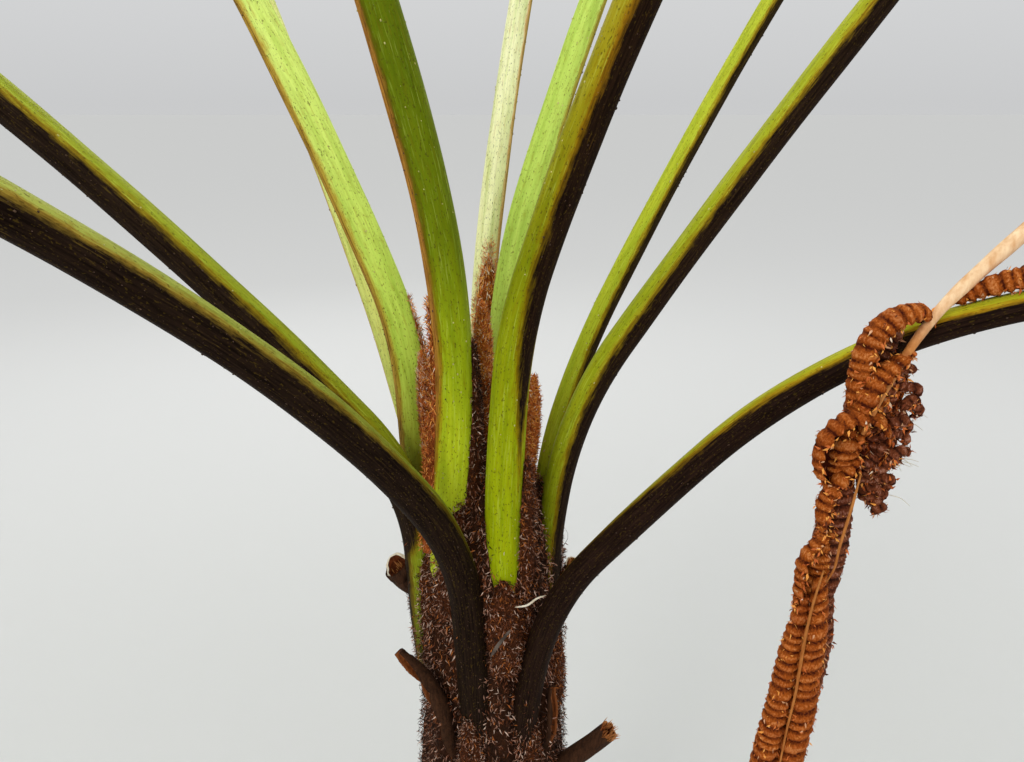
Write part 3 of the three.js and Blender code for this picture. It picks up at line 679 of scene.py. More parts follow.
# Scales and hairs come in a few plain colours, dealt out one by one: name, colour and a lighter one.
SCALE_COLOURS = [
    ("dark", "#1e100a", "#3c1f10"),
    ("rust", "#57301c", "#7c4428"),
    ("orange", "#96501f", "#bd7034"),
    ("tan", "#8a6450", "#b08470"),
    ("cream", "#b89480", "#dcc2b0"),
]
# The hair colours are partly painted light: lightened so that the croziers and the hair mounds beside them
# read as lit where the stalks shade them.
HAIR_COLOURS = [
    ("umber", "#46200f", "#76391e"),
    ("russet", "#b05628", "#d67638"),
    ("amber", "#e08c3a", "#f8b058"),
    ("fawn", "#bb8258", "#dca880"),
    ("ivory", "#dcbc9c", "#f6e4cc"),
]
# Shares of the scale colours among the leaf bases and lower down the trunk, and of the hair colours on lobes.
TRUNK_SCALES = (26, 31, 9, 27, 7)
TRUNK_LOW_SCALES = (56, 18, 2, 19, 5)
LOBE_COLOURS = dict(bright=(6, 44, 36, 12, 2), dull=(26, 50, 8, 14, 2))
LEAF_COLOURS = {
    "fresh": flake_material("leaf_fresh", "#4a8a1a", "#68a52a", 0.42),
    "middle": flake_material("leaf_middle", "#3a761a", "#4f8a23", 0.42),
    "deep": flake_material("leaf_deep", "#2a5f16", "#3c7a1e", 0.45),
}


# Stalks and ribs

# A shallow groove along the upper side, a raised line along each flank and fine lengthwise ribs, as shares of
# the radius. The skin lies a little inside the solid's.
GROOVE = -0.07
GROOVE_HALF = 15
FLANK_LINE = 0.025
FLANK_AT = 92
FLANK_HALF = 7
FINE_RIB = 0.006
FINE_RIB_COUNTS = (7, 10, 13, 17)
SKIN_INSET = 0.02
# The radius, in metres, that the pattern on the skin is made for.
PATTERN_RADIUS = 0.012
# From ring to ring, and how many points each ring has.
STALK_RINGS = (4, 36)
BLADE_RIB_RINGS = (14, 20)
KNOBS_PER_STALK = 150
KNOB_SIZE = (0.3, 0.62)


def degrees_off(around, middle):
    """How many degrees each direction round a stalk lies from one of them."""
    return np.abs((np.degrees(around) - middle + 180) % 360 - 180)


def add_frond_tube(bundle, frond, course, start, end, step, columns):
    """A length of a frond's rib, with the values that its material reads."""
    look = STALK_LOOKS[frond["name"]]
    rows = max(2, int(round((end - start) / step)) + 1)
    s = np.linspace(start, end, rows)
    place, _, side, up = course.at(s)
    around = turns(columns)
    degrees = degrees_off(around, 0)
    seed = FRONDS.index(frond)
    groove = GROOVE * np.exp(-(degrees / GROOVE_HALF) ** 2)[None] * smooth(s / STALK)[:, None]
    flank = FLANK_LINE * np.exp(-((degrees - FLANK_AT) / FLANK_HALF) ** 2)[None]
    ribs = sum(FINE_RIB * np.cos(k * around[None] + 1.7 * k + seed + 0.011 * s[:, None] * ((k % 3) - 1))
               for k in FINE_RIB_COUNTS)
    swell = 0.018 * np.sin(s / 47 + seed)[:, None] + 0.012 * np.sin(s / 19 + 2 * seed)[:, None]
    radii = rib_radius(frond, s)[:, None] * (1 + groove + flank + ribs + swell - SKIN_INSET)
    points = tube_points(place, side, up, radii, around)
    straight = np.stack([
        np.broadcast_to(np.cos(around) * PATTERN_RADIUS, (rows, columns)) + seed,
        np.broadcast_to(np.sin(around) * PATTERN_RADIUS, (rows, columns)),
        np.broadcast_to((s * MM)[:, None], (rows, columns)),
    ], -1)
    # shade is 0 where the fresh colour shows and 1 where the dark does: partly the stalk's own two tones and
    # partly painted shade.
    limit = chain(look["green"], s)[:, None]
    shade = smooth((degrees_off(around, look.get("turn", 0))[None] - limit) / STALK_BLUR + 0.5)
    tint = np.broadcast_to(colour_chain(look["tint"], s)[:, None], (rows, columns, 3))
    under = np.broadcast_to(colour(look["dark"]), (rows, columns, 3))
    ends = (points[0].mean(0, keepdims=True), points[-1].mean(0, keepdims=True))
    add_rings(bundle, points, ends, straight=straight, shade=shade, tint=tint, under=under)


def knob_template():
    """A small dome with six sides."""
    ring = turns(6)
    low = np.stack([np.cos(ring), np.sin(ring), -0.4 * np.ones(6)], 1)
    high = np.stack([0.62 * np.cos(ring), 0.62 * np.sin(ring), 0.6 * np.ones(6)], 1)
    points = np.concatenate([low, high, [[0, 0, 1]]])
    return points, [band_faces(2, 6), cap_faces(6, 6, 12, True)]


def stalk_surface(frond, course, s, degrees):
    """Places on a stalk's skin, with the direction along it, across it and out of it."""
    place, ahead, side, up = course.at(s)
    angle = np.radians(degrees)[:, None]
    out = np.cos(angle) * up + np.sin(angle) * side
    return place + out * (rib_radius(frond, s) * 0.985)[:, None], ahead, np.cross(out, ahead), out


def make_stalks(courses):
    knobs, dark_knobs = Bundle(), Bundle()
    template, faces = knob_template()
    for index, (frond, course) in enumerate(zip(FRONDS, courses)):
        stalk = Bundle()
        add_frond_tube(stalk, frond, course, 0, STALK, *STALK_RINGS)
        stalk.make(f"skin_{frond['name']}", MATERIALS["stalk"], "stalk", [f"stalk_{frond['name']}"])
        rng = np.random.default_rng(100 + index)
        count = KNOBS_PER_STALK
        s = rng.uniform(30, STALK - 4, count)
        spread = rng.uniform(35, 180, count) * rng.choice([-1, 1], count)
        origin, ahead, across, out = stalk_surface(frond, course, s, spread)
        size = rng.uniform(*KNOB_SIZE, count)
        axes = np.stack([ahead, across, out], 1)
        sizes = np.stack([size * rng.uniform(1, 1.9, count), size, size * rng.uniform(0.6, 1.2, count)], 1)
        # Knobs beyond the fresh colour's reach take the dark colour, which is partly painted shade as on the
        # skin.
        is_dark = np.abs(spread) > chain(STALK_LOOKS[frond["name"]]["green"], s)
        for bundle, chosen in ((knobs, ~is_dark), (dark_knobs, is_dark)):
            if chosen.any():
                place_copies(bundle, template, faces, origin[chosen], axes[chosen], sizes[chosen])
    knobs.make("stalk_knobs", MATERIALS["knob"], "stalk")
    dark_knobs.make("stalk_dark_knobs", MATERIALS["dark_knob"], "stalk")


# Blades

# Pinnules are the small leaves in two rows along a leaflet.
PINNULE_STEP = 11
PINNULE_ANGLE = math.radians(66)
PINNULE_ROWS = 5
PINNULE_COUNTS = (4, 36)
LONGEST_PINNULE = 60
OTHER_COLOUR_SHARE = 0.35
LEAFLET_RIB_RINGS = 10
LEAFLET_RIB_COLUMNS = 6
LEAF_PALETTES = [("fresh", "middle"), ("middle", "deep"), ("middle", "fresh")]


def pinnule_template():
    """A lobed leaf one unit long, lying along its first axis, with a fold along its midrib."""
    u = np.linspace(0, 1, PINNULE_ROWS + 1)
    outline = np.clip((1 - u) ** 0.62 * (1 - 0.3 * np.exp(-u * 14)), 0.03, None)
    lobes = np.where(np.arange(PINNULE_ROWS + 1) % 2 == 0, 0.66, 1.0)
    lobes[0] = 0.5
    forward = np.where(np.arange(PINNULE_ROWS + 1) % 2 == 0, 0.0, 0.035)
    half = 0.5 * outline * lobes
    droop = -0.16 * u ** 2
    middle = np.stack([u, np.zeros_like(u), droop], 1)
    left = np.stack([np.minimum(1, u + forward), half, droop + 0.13 * half], 1)
    right = left * (1, -1, 1)
    rows = np.arange(PINNULE_ROWS)
    m, l, r = rows, rows + PINNULE_ROWS + 1, rows + 2 * (PINNULE_ROWS + 1)
    faces = np.concatenate([np.stack([m, m + 1, l + 1, l], 1), np.stack([r, r + 1, m + 1, m], 1)])
    return np.concatenate([middle, left, right]), [faces]


def leaflet_line(plan, t):
    """Places along a leaflet's midrib, bent smoothly at its elbow."""
    inner, outer = plan["panels"]
    steps = np.linspace(0, 1, 61)
    blend = smooth((steps - ELBOW_AT + 0.2) / 0.4)[:, None]
    direction = unit(mix(inner["direction"], outer["direction"], blend))
    run = np.concatenate([np.zeros((1, 3)), np.cumsum((direction[1:] + direction[:-1]) / 2, 0) / 60])
    run = run * plan["length"]
    return inner["start"] + rows_at(t, steps, run), unit(rows_at(t, steps, direction))


def make_blade(index, frond, course, plans):
    """The leaflets of one frond: a thin rib for each, set with lobed pinnules, and the blade's own rib."""
    rng = np.random.default_rng(300 + index)
    template, faces = pinnule_template()
    leaves, ribs = Bundle(), Bundle()
    add_frond_tube(ribs, frond, course, STALK, frond["reach"], *BLADE_RIB_RINGS)
    dark = np.broadcast_to(colour(STALK_LOOKS[frond["name"]]["dark"]), (LEAFLET_RIB_RINGS, 3))
    for plan in plans:
        length, up = plan["length"], plan["up"]
        across = plan["panels"][0]["across"]
        t = np.linspace(0, 0.985, LEAFLET_RIB_RINGS)
        place, heading = leaflet_line(plan, t)
        side = unit(np.cross(up, heading))
        radius = mix(1.7, 0.45, t) * mix(0.6, 1, min(1, length / 200))
        tint = np.broadcast_to(colour("#8fa23a") * rng.uniform(0.8, 1.15), (LEAFLET_RIB_RINGS, 3))
        add_tube(ribs, place, side, np.cross(heading, side), radius, LEAFLET_RIB_COLUMNS, straight=place * MM,
                 shade=0.0, tint=tint, under=dark)
        count = int(np.clip(round(length / PINNULE_STEP), *PINNULE_COUNTS))
        t = (np.arange(count) + 0.5) / count * 0.97 + 0.02
        place, heading = leaflet_line(plan, t)
        half = plan["width"] / 2 * np.interp(t, [0, 0.14, ELBOW_AT, 1], [0.62, 1, ELBOW_WIDTH, 0.1])
        side = unit(across - heading * np.einsum("nx,x->n", heading, across)[:, None])
        face = unit(np.cross(heading, side))
        face *= np.sign(np.einsum("nx,x->n", face, up))[:, None]
        step = length / count
        for which in (1, -1):
            angle = PINNULE_ANGLE + rng.normal(0, 0.05, count) - 0.35 * t ** 3
            lift = rng.normal(-0.1, 0.09, count)
            out = side * which
            axis = heading * np.cos(angle)[:, None] + out * np.sin(angle)[:, None]
            axis = unit(axis + face * lift[:, None])
            roll = rng.normal(0.1, 0.12, count)[:, None]
            wide = unit(np.cross(face, axis) + face * roll)
            axes = np.stack([axis, wide, np.cross(axis, wide)], 1)
            axes[:, 2] *= np.sign(np.einsum("nx,nx->n", axes[:, 2], face))[:, None]
            reach = np.minimum(half / np.sin(angle), LONGEST_PINNULE) * rng.uniform(0.93, 1.03, count)
            sizes = np.stack([reach, np.full(count, step * 1.12), reach], 1)
            place_copies(leaves, template, faces, place, axes, sizes, int(rng.random() < OTHER_COLOUR_SHARE))
        tip_place, tip_heading = leaflet_line(plan, np.array([0.965]))
        axes = np.stack([tip_heading, side[-1:], face[-1:]], 1)
        sizes = np.array([[length * 0.035 + 2, 3.2, length * 0.03]])
        place_copies(leaves, template, faces, tip_place, axes, sizes)
    nodes = [f"blade_{frond['name']}_inner", f"blade_{frond['name']}_outer"]
    palette = [LEAF_COLOURS[key] for key in LEAF_PALETTES[index % len(LEAF_PALETTES)]]
    leaves.make(f"leaflets_{frond['name']}", palette, "leaflet", nodes)
    ribs.make(f"ribs_{frond['name']}", MATERIALS["stalk"], "stalk", nodes)


# Trunk

# How far the bark lies inside the solid, on average.
SKIN_SINK = 1.6
TRUNK_COLUMNS = 176
TRUNK_ROWS = 150
# Old bases climb the trunk in a spiral: each stands a turn and a rise on from the last.
GOLDEN_TURN = math.radians(137.5)
BASE_COUNT = 50
BASE_LOWEST = 26
BASE_RISE = 6.2
BASE_LENGTHS = (44, 70)
BASE_RADII = (4.6, 6.8)
BASE_RINGS = 11
BASE_COLUMNS = 12
# Roots start at heights between two limits and run down to the ground.
ROOT_COUNT = 180
ROOT_TOPS = (60, 330)
ROOT_RADII = (0.7, 1.5)
ROOT_RINGS = 14


def trunk_radius(height, angle):
    depth = mix(FLARE_RIB_DEPTH, RIB_DEPTH, smooth(height / FLARE_HEIGHT))
    return chain(TRUNK_PROFILE, height) * (1 + depth * np.cos(RIB_COUNT * (angle + RIB_TWIST * height)))


def trunk_skin(height, angle):
    """The trunk's radius with its relief: matted fibre, furrows and bulges."""
    furrows = 0.9 * np.sin(19 * angle + 0.02 * height) + 0.7 * np.sin(31 * angle - 0.031 * height + 1)
    lumps = 1.1 * np.sin(5 * angle + height / 23) * np.sin(height / 17 + 3 * angle)
    fine = 0.45 * np.sin(67 * angle + 0.05 * height) + 0.4 * np.sin(height / 3.1 + 23 * angle)
    fade = smooth((TRUNK_TOP - height) / 60)
    return trunk_radius(height, angle) - SKIN_SINK + (furrows + lumps + fine) * fade


def on_trunk(height, angle, lift=0.0):
    radius = trunk_skin(height, angle) + lift
    return np.stack([radius * np.cos(angle), radius * np.sin(angle), height], -1)


def away_from_trunk(turn):
    """The level direction out of the trunk, at each turn round it."""
    return np.stack([np.cos(turn), np.sin(turn), np.zeros_like(turn)], -1)


def make_trunk():
    columns, rows = TRUNK_COLUMNS, TRUNK_ROWS
    share = np.linspace(0, 1, rows)
    height = TRUNK_TOP * mix(share, np.sin(math.pi / 2 * share), 0.45)
    grid = on_trunk(*np.broadcast_arrays(height[:, None], turns(columns)))
    grid[0, :, 2] = 0
    points = np.concatenate([grid.reshape(-1, 3), [[0, 0, 0], [0, 0, TRUNK_TOP]]])
    caps = [cap_faces(0, columns, rows * columns, True),
            cap_faces((rows - 1) * columns, columns, rows * columns + 1, False)]
    bark = Bundle()
    bark.add(points, [band_faces(rows, columns)[:, ::-1], *caps])
    bark.make("trunk_bark", MATERIALS["bark"], "bark", ["trunk"])


def make_old_bases():
    """Short dark bases of dropped fronds, pressed to the trunk in a spiral, broken off at the top."""
    rng = np.random.default_rng(7)
    bases = Bundle()
    columns = BASE_COLUMNS
    t = np.linspace(0, 1, BASE_RINGS)
    lean = -4.5 + 8.5 * t ** 1.6
    around = turns(columns)
    for k in range(BASE_COUNT):
        height = BASE_LOWEST + BASE_RISE * k
        angle = GOLDEN_TURN * k
        length = rng.uniform(*BASE_LENGTHS)
        thick = rng.uniform(*BASE_RADII) * (1 - 0.0005 * height)
        z = height + length * t
        out = trunk_radius(z, angle) + lean
        turn = angle + 0.05 * t
        places = np.stack([out * np.cos(turn), out * np.sin(turn), z], 1)
        _, sides, ups = side_frames(places, away_from_trunk(angle))
        worn = 1 + 0.05 * np.sin(5 * around + k)[None] + 0.04 * np.sin(9 * around + 3 * k + 4 * t[:, None])
        radii = thick * mix(0.75, 1.0, smooth(t * 2))[:, None] * worn
        ring = tube_points(places, sides * 1.15, ups * 0.85, radii, around)
        ring[-1] += np.array([0, 0, 1.0]) * (2.6 * rng.standard_normal(columns))[:, None]
        hollow = mix(places[-1], ring[-1], 0.66) - np.array([0, 0, 1.5])
        deep = mix(places[-3], ring[-3], 0.5)
        points = np.concatenate([ring.reshape(-1, 3), hollow, deep, places[-4:-3]])
        rings = BASE_RINGS + 2
        tip = rings * columns
        bases.add(points, [band_faces(rings, columns), cap_faces(tip - columns, columns, tip, True)])
    bases.make("old_leaf_bases", MATERIALS["old_base"], "bark", ["trunk"])


def make_roots():
    """Wiry roots that run down the lower trunk and spread into its flare."""
    rng = np.random.default_rng(11)
    roots = Bundle()
    for _ in range(ROOT_COUNT):
        top = rng.uniform(*ROOT_TOPS)
        angle = rng.uniform(0, FULL_TURN)
        z = np.linspace(top, 2.2, ROOT_RINGS)
        turn = angle + np.cumsum(rng.normal(0, 0.018, ROOT_RINGS))
        thick = rng.uniform(*ROOT_RADII)
        places = on_trunk(z, turn, thick * 0.5)
        add_run(roots, places, away_from_trunk(turn), thick * mix(0.7, 1, np.linspace(0, 1, ROOT_RINGS)), 5)
    roots.make("trunk_roots", MATERIALS["root"], "bark", ["trunk"])


# Scales and fibres

# How deep the place of a flake may lie inside a stalk.
FLAKE_SINK = 0.6


def scale_template(curl):
    """A thin folded sliver, one unit long, pointed at both ends, with its tip bent aside and up."""
    points = [(0, 0, 0), (0.42, -0.5, 0.12), (1, *curl), (0.42, 0.5, 0.12)]
    return np.array(points), [np.array([(0, 1, 2, 3)])]


CURLS = [(0.4, 0.1), (-0.5, 0.42), (0.2, -0.3)]
# Which way flakes point: two in three one way and the third the other way.
WAYS = [1, 1, -1]


class Flakes:
    """Scales or hairs, gathered by colour."""

    def __init__(self, palette, slot):
        self.palette, self.slot = palette, slot
        self.bundles = [Bundle() for _ in palette]

    def scatter(self, rng, origins, along, out, lengths, weights, slimness, spin=0.75, stand=(0.05, 0.8)):
        """Flakes on a surface. along is the way that they point, roughly, and out the surface's outward side.
        weights has one row, or one for each flake. slimness is the width for each mm of length. spin is how
        far they turn aside and stand how far they stand off, in radians."""
        count = len(origins)
        weights = np.broadcast_to(np.asarray(weights, float), (count, len(self.palette)))
        shares = np.cumsum(weights / weights.sum(1, keepdims=True), 1)
        picks = (rng.random(count)[:, None] > shares).sum(1)
        curls = rng.integers(0, len(CURLS), count)
        turned = rng.normal(0, spin, count)[:, None]
        heading = unit(np.cos(turned) * along + np.sin(turned) * unit(np.cross(out, along)))
        raised = rng.uniform(*stand, count)[:, None]
        axis = unit(heading * np.cos(raised) + out * np.sin(raised))
        wide = unit(np.cross(out, axis) + out * rng.normal(0, 0.35, (count, 1)))
        axes = np.stack([axis, wide, np.cross(axis, wide)], 1)
        sizes = np.stack([lengths, lengths * slimness, lengths], 1)
        for pick, bundle in enumerate(self.bundles):
            for curl, bend in enumerate(CURLS):
                chosen = (picks == pick) & (curls == curl)
                if chosen.any():
                    template, faces = scale_template(bend)
                    place_copies(bundle, template, faces, origins[chosen], axes[chosen], sizes[chosen])

    def make(self, prefix):
        for bundle, (name, code, lighter) in zip(self.bundles, self.palette):
            bundle.make(f"{prefix}_{name}", flake_material(f"{prefix}_{name}", code, lighter), self.slot)


def clear_of_stalks(points, courses):
    """Which places are outside every stalk."""
    clear = np.ones(len(points), bool)
    for frond, course in zip(FRONDS, courses):
        s = np.arange(0, 260, 8.0)
        gaps = np.linalg.norm(points[:, None] - course.at(s)[0][None], axis=2)
        clear &= gaps.min(1) > rib_radius(frond, s[gaps.argmin(1)]) - FLAKE_SINK
    return clear


def by_name(courses):
    return {frond["name"]: (frond, course) for frond, course in zip(FRONDS, courses)}


# Mounds of scales or hairs at the feet of the stalks. stalk: the stalk that it lies on. along: where it
# starts and ends. at: its side of the stalk, in degrees. out: how far out its middle lies, in radii.
# across: its thickness, from its start to its end. hair: whether it is made of hairs. weights: shares of the
# colours of the scales or hairs, from its start to its end.
MOUNDS = [
    # This mound's large share of dark scales is partly painted shade, where it lies deep between centre_left
    # and centre_right.
    dict(stalk="centre_left", along=(-12, 190), at=44, out=0.8, across=(24, 27, 22, 16, 8),
         weights=[(30, 26, 4, 26, 14), (56, 22, 2, 12, 8), (62, 20, 4, 8, 6)]),
    dict(stalk="centre_left", along=(-30, 72), at=104, out=0.55, across=(24, 27, 28, 26, 10),
         weights=[(30, 34, 12, 18, 6), (26, 28, 6, 26, 14), (30, 28, 6, 24, 12)]),
    dict(stalk="centre_left", along=(20, 222), at=-128, out=0.9, across=(16, 16, 13, 9, 3), hair=True,
         weights=[(10, 40, 40, 8, 2), (14, 40, 36, 8, 2)]),
    dict(stalk="centre_right", along=(-34, 50), at=-134, out=0.7, across=(24, 30, 31, 26, 8),
         weights=[(24, 40, 14, 16, 6), (22, 44, 18, 12, 4)]),
    dict(stalk="centre_right", along=(-14, 146), at=140, out=1.2, across=(16, 16, 15, 13, 4),
         weights=[(40, 30, 10, 16, 4), (24, 40, 20, 12, 4)]),
    dict(stalk="centre_right", along=(-20, 96), at=-50, out=1.1, across=(14, 15, 12, 9, 4),
         weights=[(50, 26, 4, 14, 6)]),
    dict(stalk="left", along=(-26, 132), at=36, out=0.72, across=(22, 30, 33, 28, 8),
         weights=[(40, 22, 4, 20, 14)]),
    dict(stalk="left", along=(-26, 104), at=-14, out=1.0, across=(20, 26, 26, 22, 8),
         weights=[(40, 26, 6, 18, 10)]),
    dict(stalk="right", along=(-80, 10), at=-112, out=0.6, across=(12, 22, 24, 20, 8),
         weights=[(18, 36, 24, 18, 4)]),
    dict(stalk="front_left", along=(-60, 30), at=150, out=0.7, across=(20, 24, 22, 16, 6),
         weights=[(38, 28, 10, 18, 6)]),
    dict(stalk="front_right", along=(-60, 30), at=170, out=0.7, across=(18, 22, 20, 14, 6),
         weights=[(38, 28, 10, 18, 6)]),
    dict(stalk="back_left", along=(-40, 90), at=-40, out=0.8, across=(22, 26, 28, 27, 14), hair=True,
         weights=[(34, 34, 14, 14, 4), (10, 40, 44, 4, 2)]),
    dict(stalk="back_left", along=(60, 262), at=-26, out=0.86, across=(18, 21, 15, 8, 2), hair=True,
         weights=[(8, 40, 46, 4, 2), (14, 36, 38, 8, 4), (26, 26, 10, 24, 14), (6, 16, 20, 36, 22)]),
    dict(stalk="back", along=(0, 206), at=-84, out=0.7, across=(24, 25, 24, 20, 7),
         weights=[(60, 22, 2, 10, 6), (58, 20, 2, 12, 8), (40, 26, 10, 14, 10), (8, 22, 34, 24, 12)]),
    dict(stalk="back", along=(150, 272), at=-40, out=0.62, across=(14, 18, 18, 13, 3), hair=True,
         weights=[(26, 34, 20, 14, 6), (8, 26, 34, 22, 10), (2, 8, 24, 34, 32)]),
    dict(stalk="back_left", along=(-30, 60), at=-140, out=0.5, across=(20, 26, 26, 20, 8),
         weights=[(36, 30, 10, 18, 6)]),
    dict(stalk="back", along=(-30, 60), at=160, out=0.5, across=(22, 26, 26, 20, 8),
         weights=[(36, 30, 10, 18, 6)]),
    dict(stalk="back_right", along=(-50, 40), at=180, out=0.6, across=(24, 28, 26, 20, 8),
         weights=[(36, 30, 10, 18, 6)]),
    dict(stalk="right_thin", along=(-60, 40), at=180, out=0.6, across=(24, 26, 24, 18, 8),
         weights=[(36, 30, 10, 18, 6)]),
]
MOUND_FLAKES_PER_MM2 = 0.55
MOUND_COLUMNS = 18
# A flake's longest length, its slimness and its spin.
MOUND_SCALE = (4.8, 0.2, 0.75)
MOUND_HAIR = (6.5, 0.15, 0.5)
# Scales on the trunk: from one height to another, how many, and their colours. They lie thick among the leaf
# bases, and thinner and more worn towards the ground.
TRUNK_ZONES = [
    (490, 690, 17000, TRUNK_SCALES),
    (400, 490, 8000, TRUNK_LOW_SCALES),
    (230, 400, 7000, TRUNK_LOW_SCALES),
    (40, 230, 4500, TRUNK_LOW_SCALES),
]
TRUNK_SCALE_LENGTHS = (2.4, 6.0)
TRUNK_SCALE_SLIMNESS = 0.19
FOOT_SCALE_LENGTHS = (2.2, 4.8)
FOOT_SCALE_SLIMNESS = 0.2
SHORTEST_FLAKE = 2.2
FIBRE_COUNT = 520
FIBRE_LENGTHS = (10, 26)


def make_mounds(courses, scales):
    rng = np.random.default_rng(19)
    mats, hair_mats = Bundle(), Bundle()
    hairs = Flakes(HAIR_COLOURS, "bark")
    stalks = by_name(courses)
    for k, mound in enumerate(MOUNDS):
        frond, course = stalks[mound["stalk"]]
        start, end = mound["along"]
        rows = int((end - start) / 4) + 8
        s = np.linspace(start, end, rows)
        place, _, side, up = course.at(s)
        angle = math.radians(mound["at"])
        out = math.cos(angle) * up + math.sin(angle) * side
        places = place + out * (rib_radius(frond, np.maximum(s, 30)) * mound["out"])[:, None]
        ahead, sides, ups = side_frames(places, out)
        radius = even(mound["across"], np.linspace(0, 1, rows)) / 2
        around = turns(MOUND_COLUMNS)
        lumps = 1 + 0.09 * np.sin(3 * around[None] + s[:, None] / 7 + k) * np.sin(s / 5 + 2 * k)[:, None]
        hairy = mound.get("hair", False)
        mat, flakes, kind = (hair_mats, hairs, MOUND_HAIR) if hairy else (mats, scales, MOUND_SCALE)
        add_tube(mat, places, sides, ups, radius[:, None] * lumps * 0.94, MOUND_COLUMNS)
        area = math.pi * 2 * radius.mean() * (end - start)
        count = int(area * MOUND_FLAKES_PER_MM2)
        pick = rng.uniform(0, rows - 1.001, count)
        row, turn = pick.astype(int), rng.uniform(0, FULL_TURN, count)
        face = np.cos(turn)[:, None] * ups[row] + np.sin(turn)[:, None] * sides[row]
        middle = mix(places[row], places[row + 1], (pick - row)[:, None])
        origin = middle + face * (radius[row] * rng.uniform(0.88, 1.04, count))[:, None]
        kept = clear_of_stalks(origin, courses)
        kept &= (np.linalg.norm(origin[:, :2], axis=1) > chain(TRUNK_PROFILE, origin[:, 2]) - 4)
        weights = np.array(mound["weights"], float)
        weights = rows_at(pick / (rows - 1), np.linspace(0, 1, len(weights)), weights)
        heading = ahead[row] * rng.choice(WAYS, count)[:, None]
        longest, slimness, spin = kind
        lengths = rng.uniform(SHORTEST_FLAKE, longest, kept.sum())
        flakes.scatter(rng, origin[kept], heading[kept], face[kept], lengths, weights[kept], slimness, spin)
    mats.make("scale_mounds", MATERIALS["mat"], "bark")
    hair_mats.make("hair_mounds", MATERIALS["hair_mat"], "bark")
    hairs.make("hair")


def make_scales(courses):
    rng = np.random.default_rng(21)
    scales = Flakes(SCALE_COLOURS, "bark")
    make_mounds(courses, scales)
    for low, high, count, shares in TRUNK_ZONES:
        z = rng.uniform(low, high, count)
        turn = rng.uniform(0, FULL_TURN, count)
        places = on_trunk(z, turn, rng.uniform(-0.8, 3.6, count))
        kept = clear_of_stalks(places, courses)
        places, out = places[kept], away_from_trunk(turn[kept])
        down = np.array([0.0, 0.0, -1.0]) * rng.choice(WAYS, len(out))[:, None]
        lengths = rng.uniform(*TRUNK_SCALE_LENGTHS, len(places))
        scales.scatter(rng, places, down, out, lengths, shares, TRUNK_SCALE_SLIMNESS)
    # The feet of the stalks: covered to a certain height, then more and more open.
    for frond, course in zip(FRONDS, courses):
        hidden = STALK_LOOKS[frond["name"]]["hidden"]
        count = 260 + 16 * hidden
        s = np.clip(rng.exponential(13, count) + rng.uniform(-6, hidden, count), 0, 160)
        origin, ahead, _, out = stalk_surface(frond, course, s, rng.uniform(-180, 180, count))
        radial = np.linalg.norm(origin[:, :2], axis=1)
        kept = (radial > chain(TRUNK_PROFILE, origin[:, 2]) - 3) | (origin[:, 2] > TRUNK_TOP - 40)
        lengths = rng.uniform(*FOOT_SCALE_LENGTHS, kept.sum())
        scales.scatter(rng, origin[kept], -ahead[kept], out[kept], lengths, TRUNK_SCALES, FOOT_SCALE_SLIMNESS)
    scales.make("scales")


def make_fibres(courses):
    """Fine black hairs that stand among the scales."""
    rng = np.random.default_rng(31)
    fibres = Bundle()
    z = rng.uniform(60, 680, FIBRE_COUNT)
    turn = rng.uniform(0, FULL_TURN, FIBRE_COUNT)
    foot = on_trunk(z, turn, -0.5)
    out = away_from_trunk(turn)
    t = np.linspace(0, 1, 5)[:, None]
    for k in np.flatnonzero(clear_of_stalks(foot, courses)):
        side = np.array([-out[k, 1], out[k, 0], 0]) * rng.normal(0, 0.5)
        rise = np.array([0, 0, rng.choice([-1, 1])]) * rng.uniform(0.5, 1)
        length = rng.uniform(*FIBRE_LENGTHS)
        course = foot[k] + length * (t * (rise + side) + out[k] * (0.3 * np.sin(math.pi * t * 0.8)))
        add_run(fibres, course, out[k] + 0.01, np.linspace(0.28, 0.1, 5), 3)
    fibres.make("black_fibres", MATERIALS["fibre"], "bark")


# Croziers

# weights: shares of the hair colours from each height upward, as a share of the length. spin: how far the
# hairs turn aside from the crozier's length, in radians.
CROZIERS = [
    dict(name="crozier_right", foot=(29, -4, 672), top=(34, 0, 756), across=(10, 12, 14, 12, 3), spin=1.6,
         weights=[(0, (16, 46, 26, 12, 0)), (0.6, (8, 36, 38, 16, 2))]),
    dict(name="crozier_left", foot=(-44, -8, 632), top=(-50, -9, 778), across=(9, 10, 11, 11, 5), spin=0.6,
         weights=[(0, (30, 30, 15, 15, 10)), (0.12, (4, 36, 52, 6, 2)), (0.46, (4, 24, 44, 16, 12)),
                  (0.6, (30, 26, 14, 16, 14)), (0.84, (8, 16, 22, 26, 28))]),
    dict(name="crozier_middle", foot=(-3, 3, 688), top=(-5, 4, 812), across=(11, 12, 11, 13, 6), spin=0.7,
         weights=[(0, (62, 20, 2, 8, 8)), (0.55, (10, 30, 36, 16, 8))]),
]
CROZIER_SINK = 10
CROZIER_RINGS = 130
CROZIER_COLUMNS = 14
CROZIER_HAIRS_PER_MM = 34
CROZIER_HAIR_LENGTHS = (2.4, 5.2)
CROZIER_HAIR_SLIMNESS = 0.16


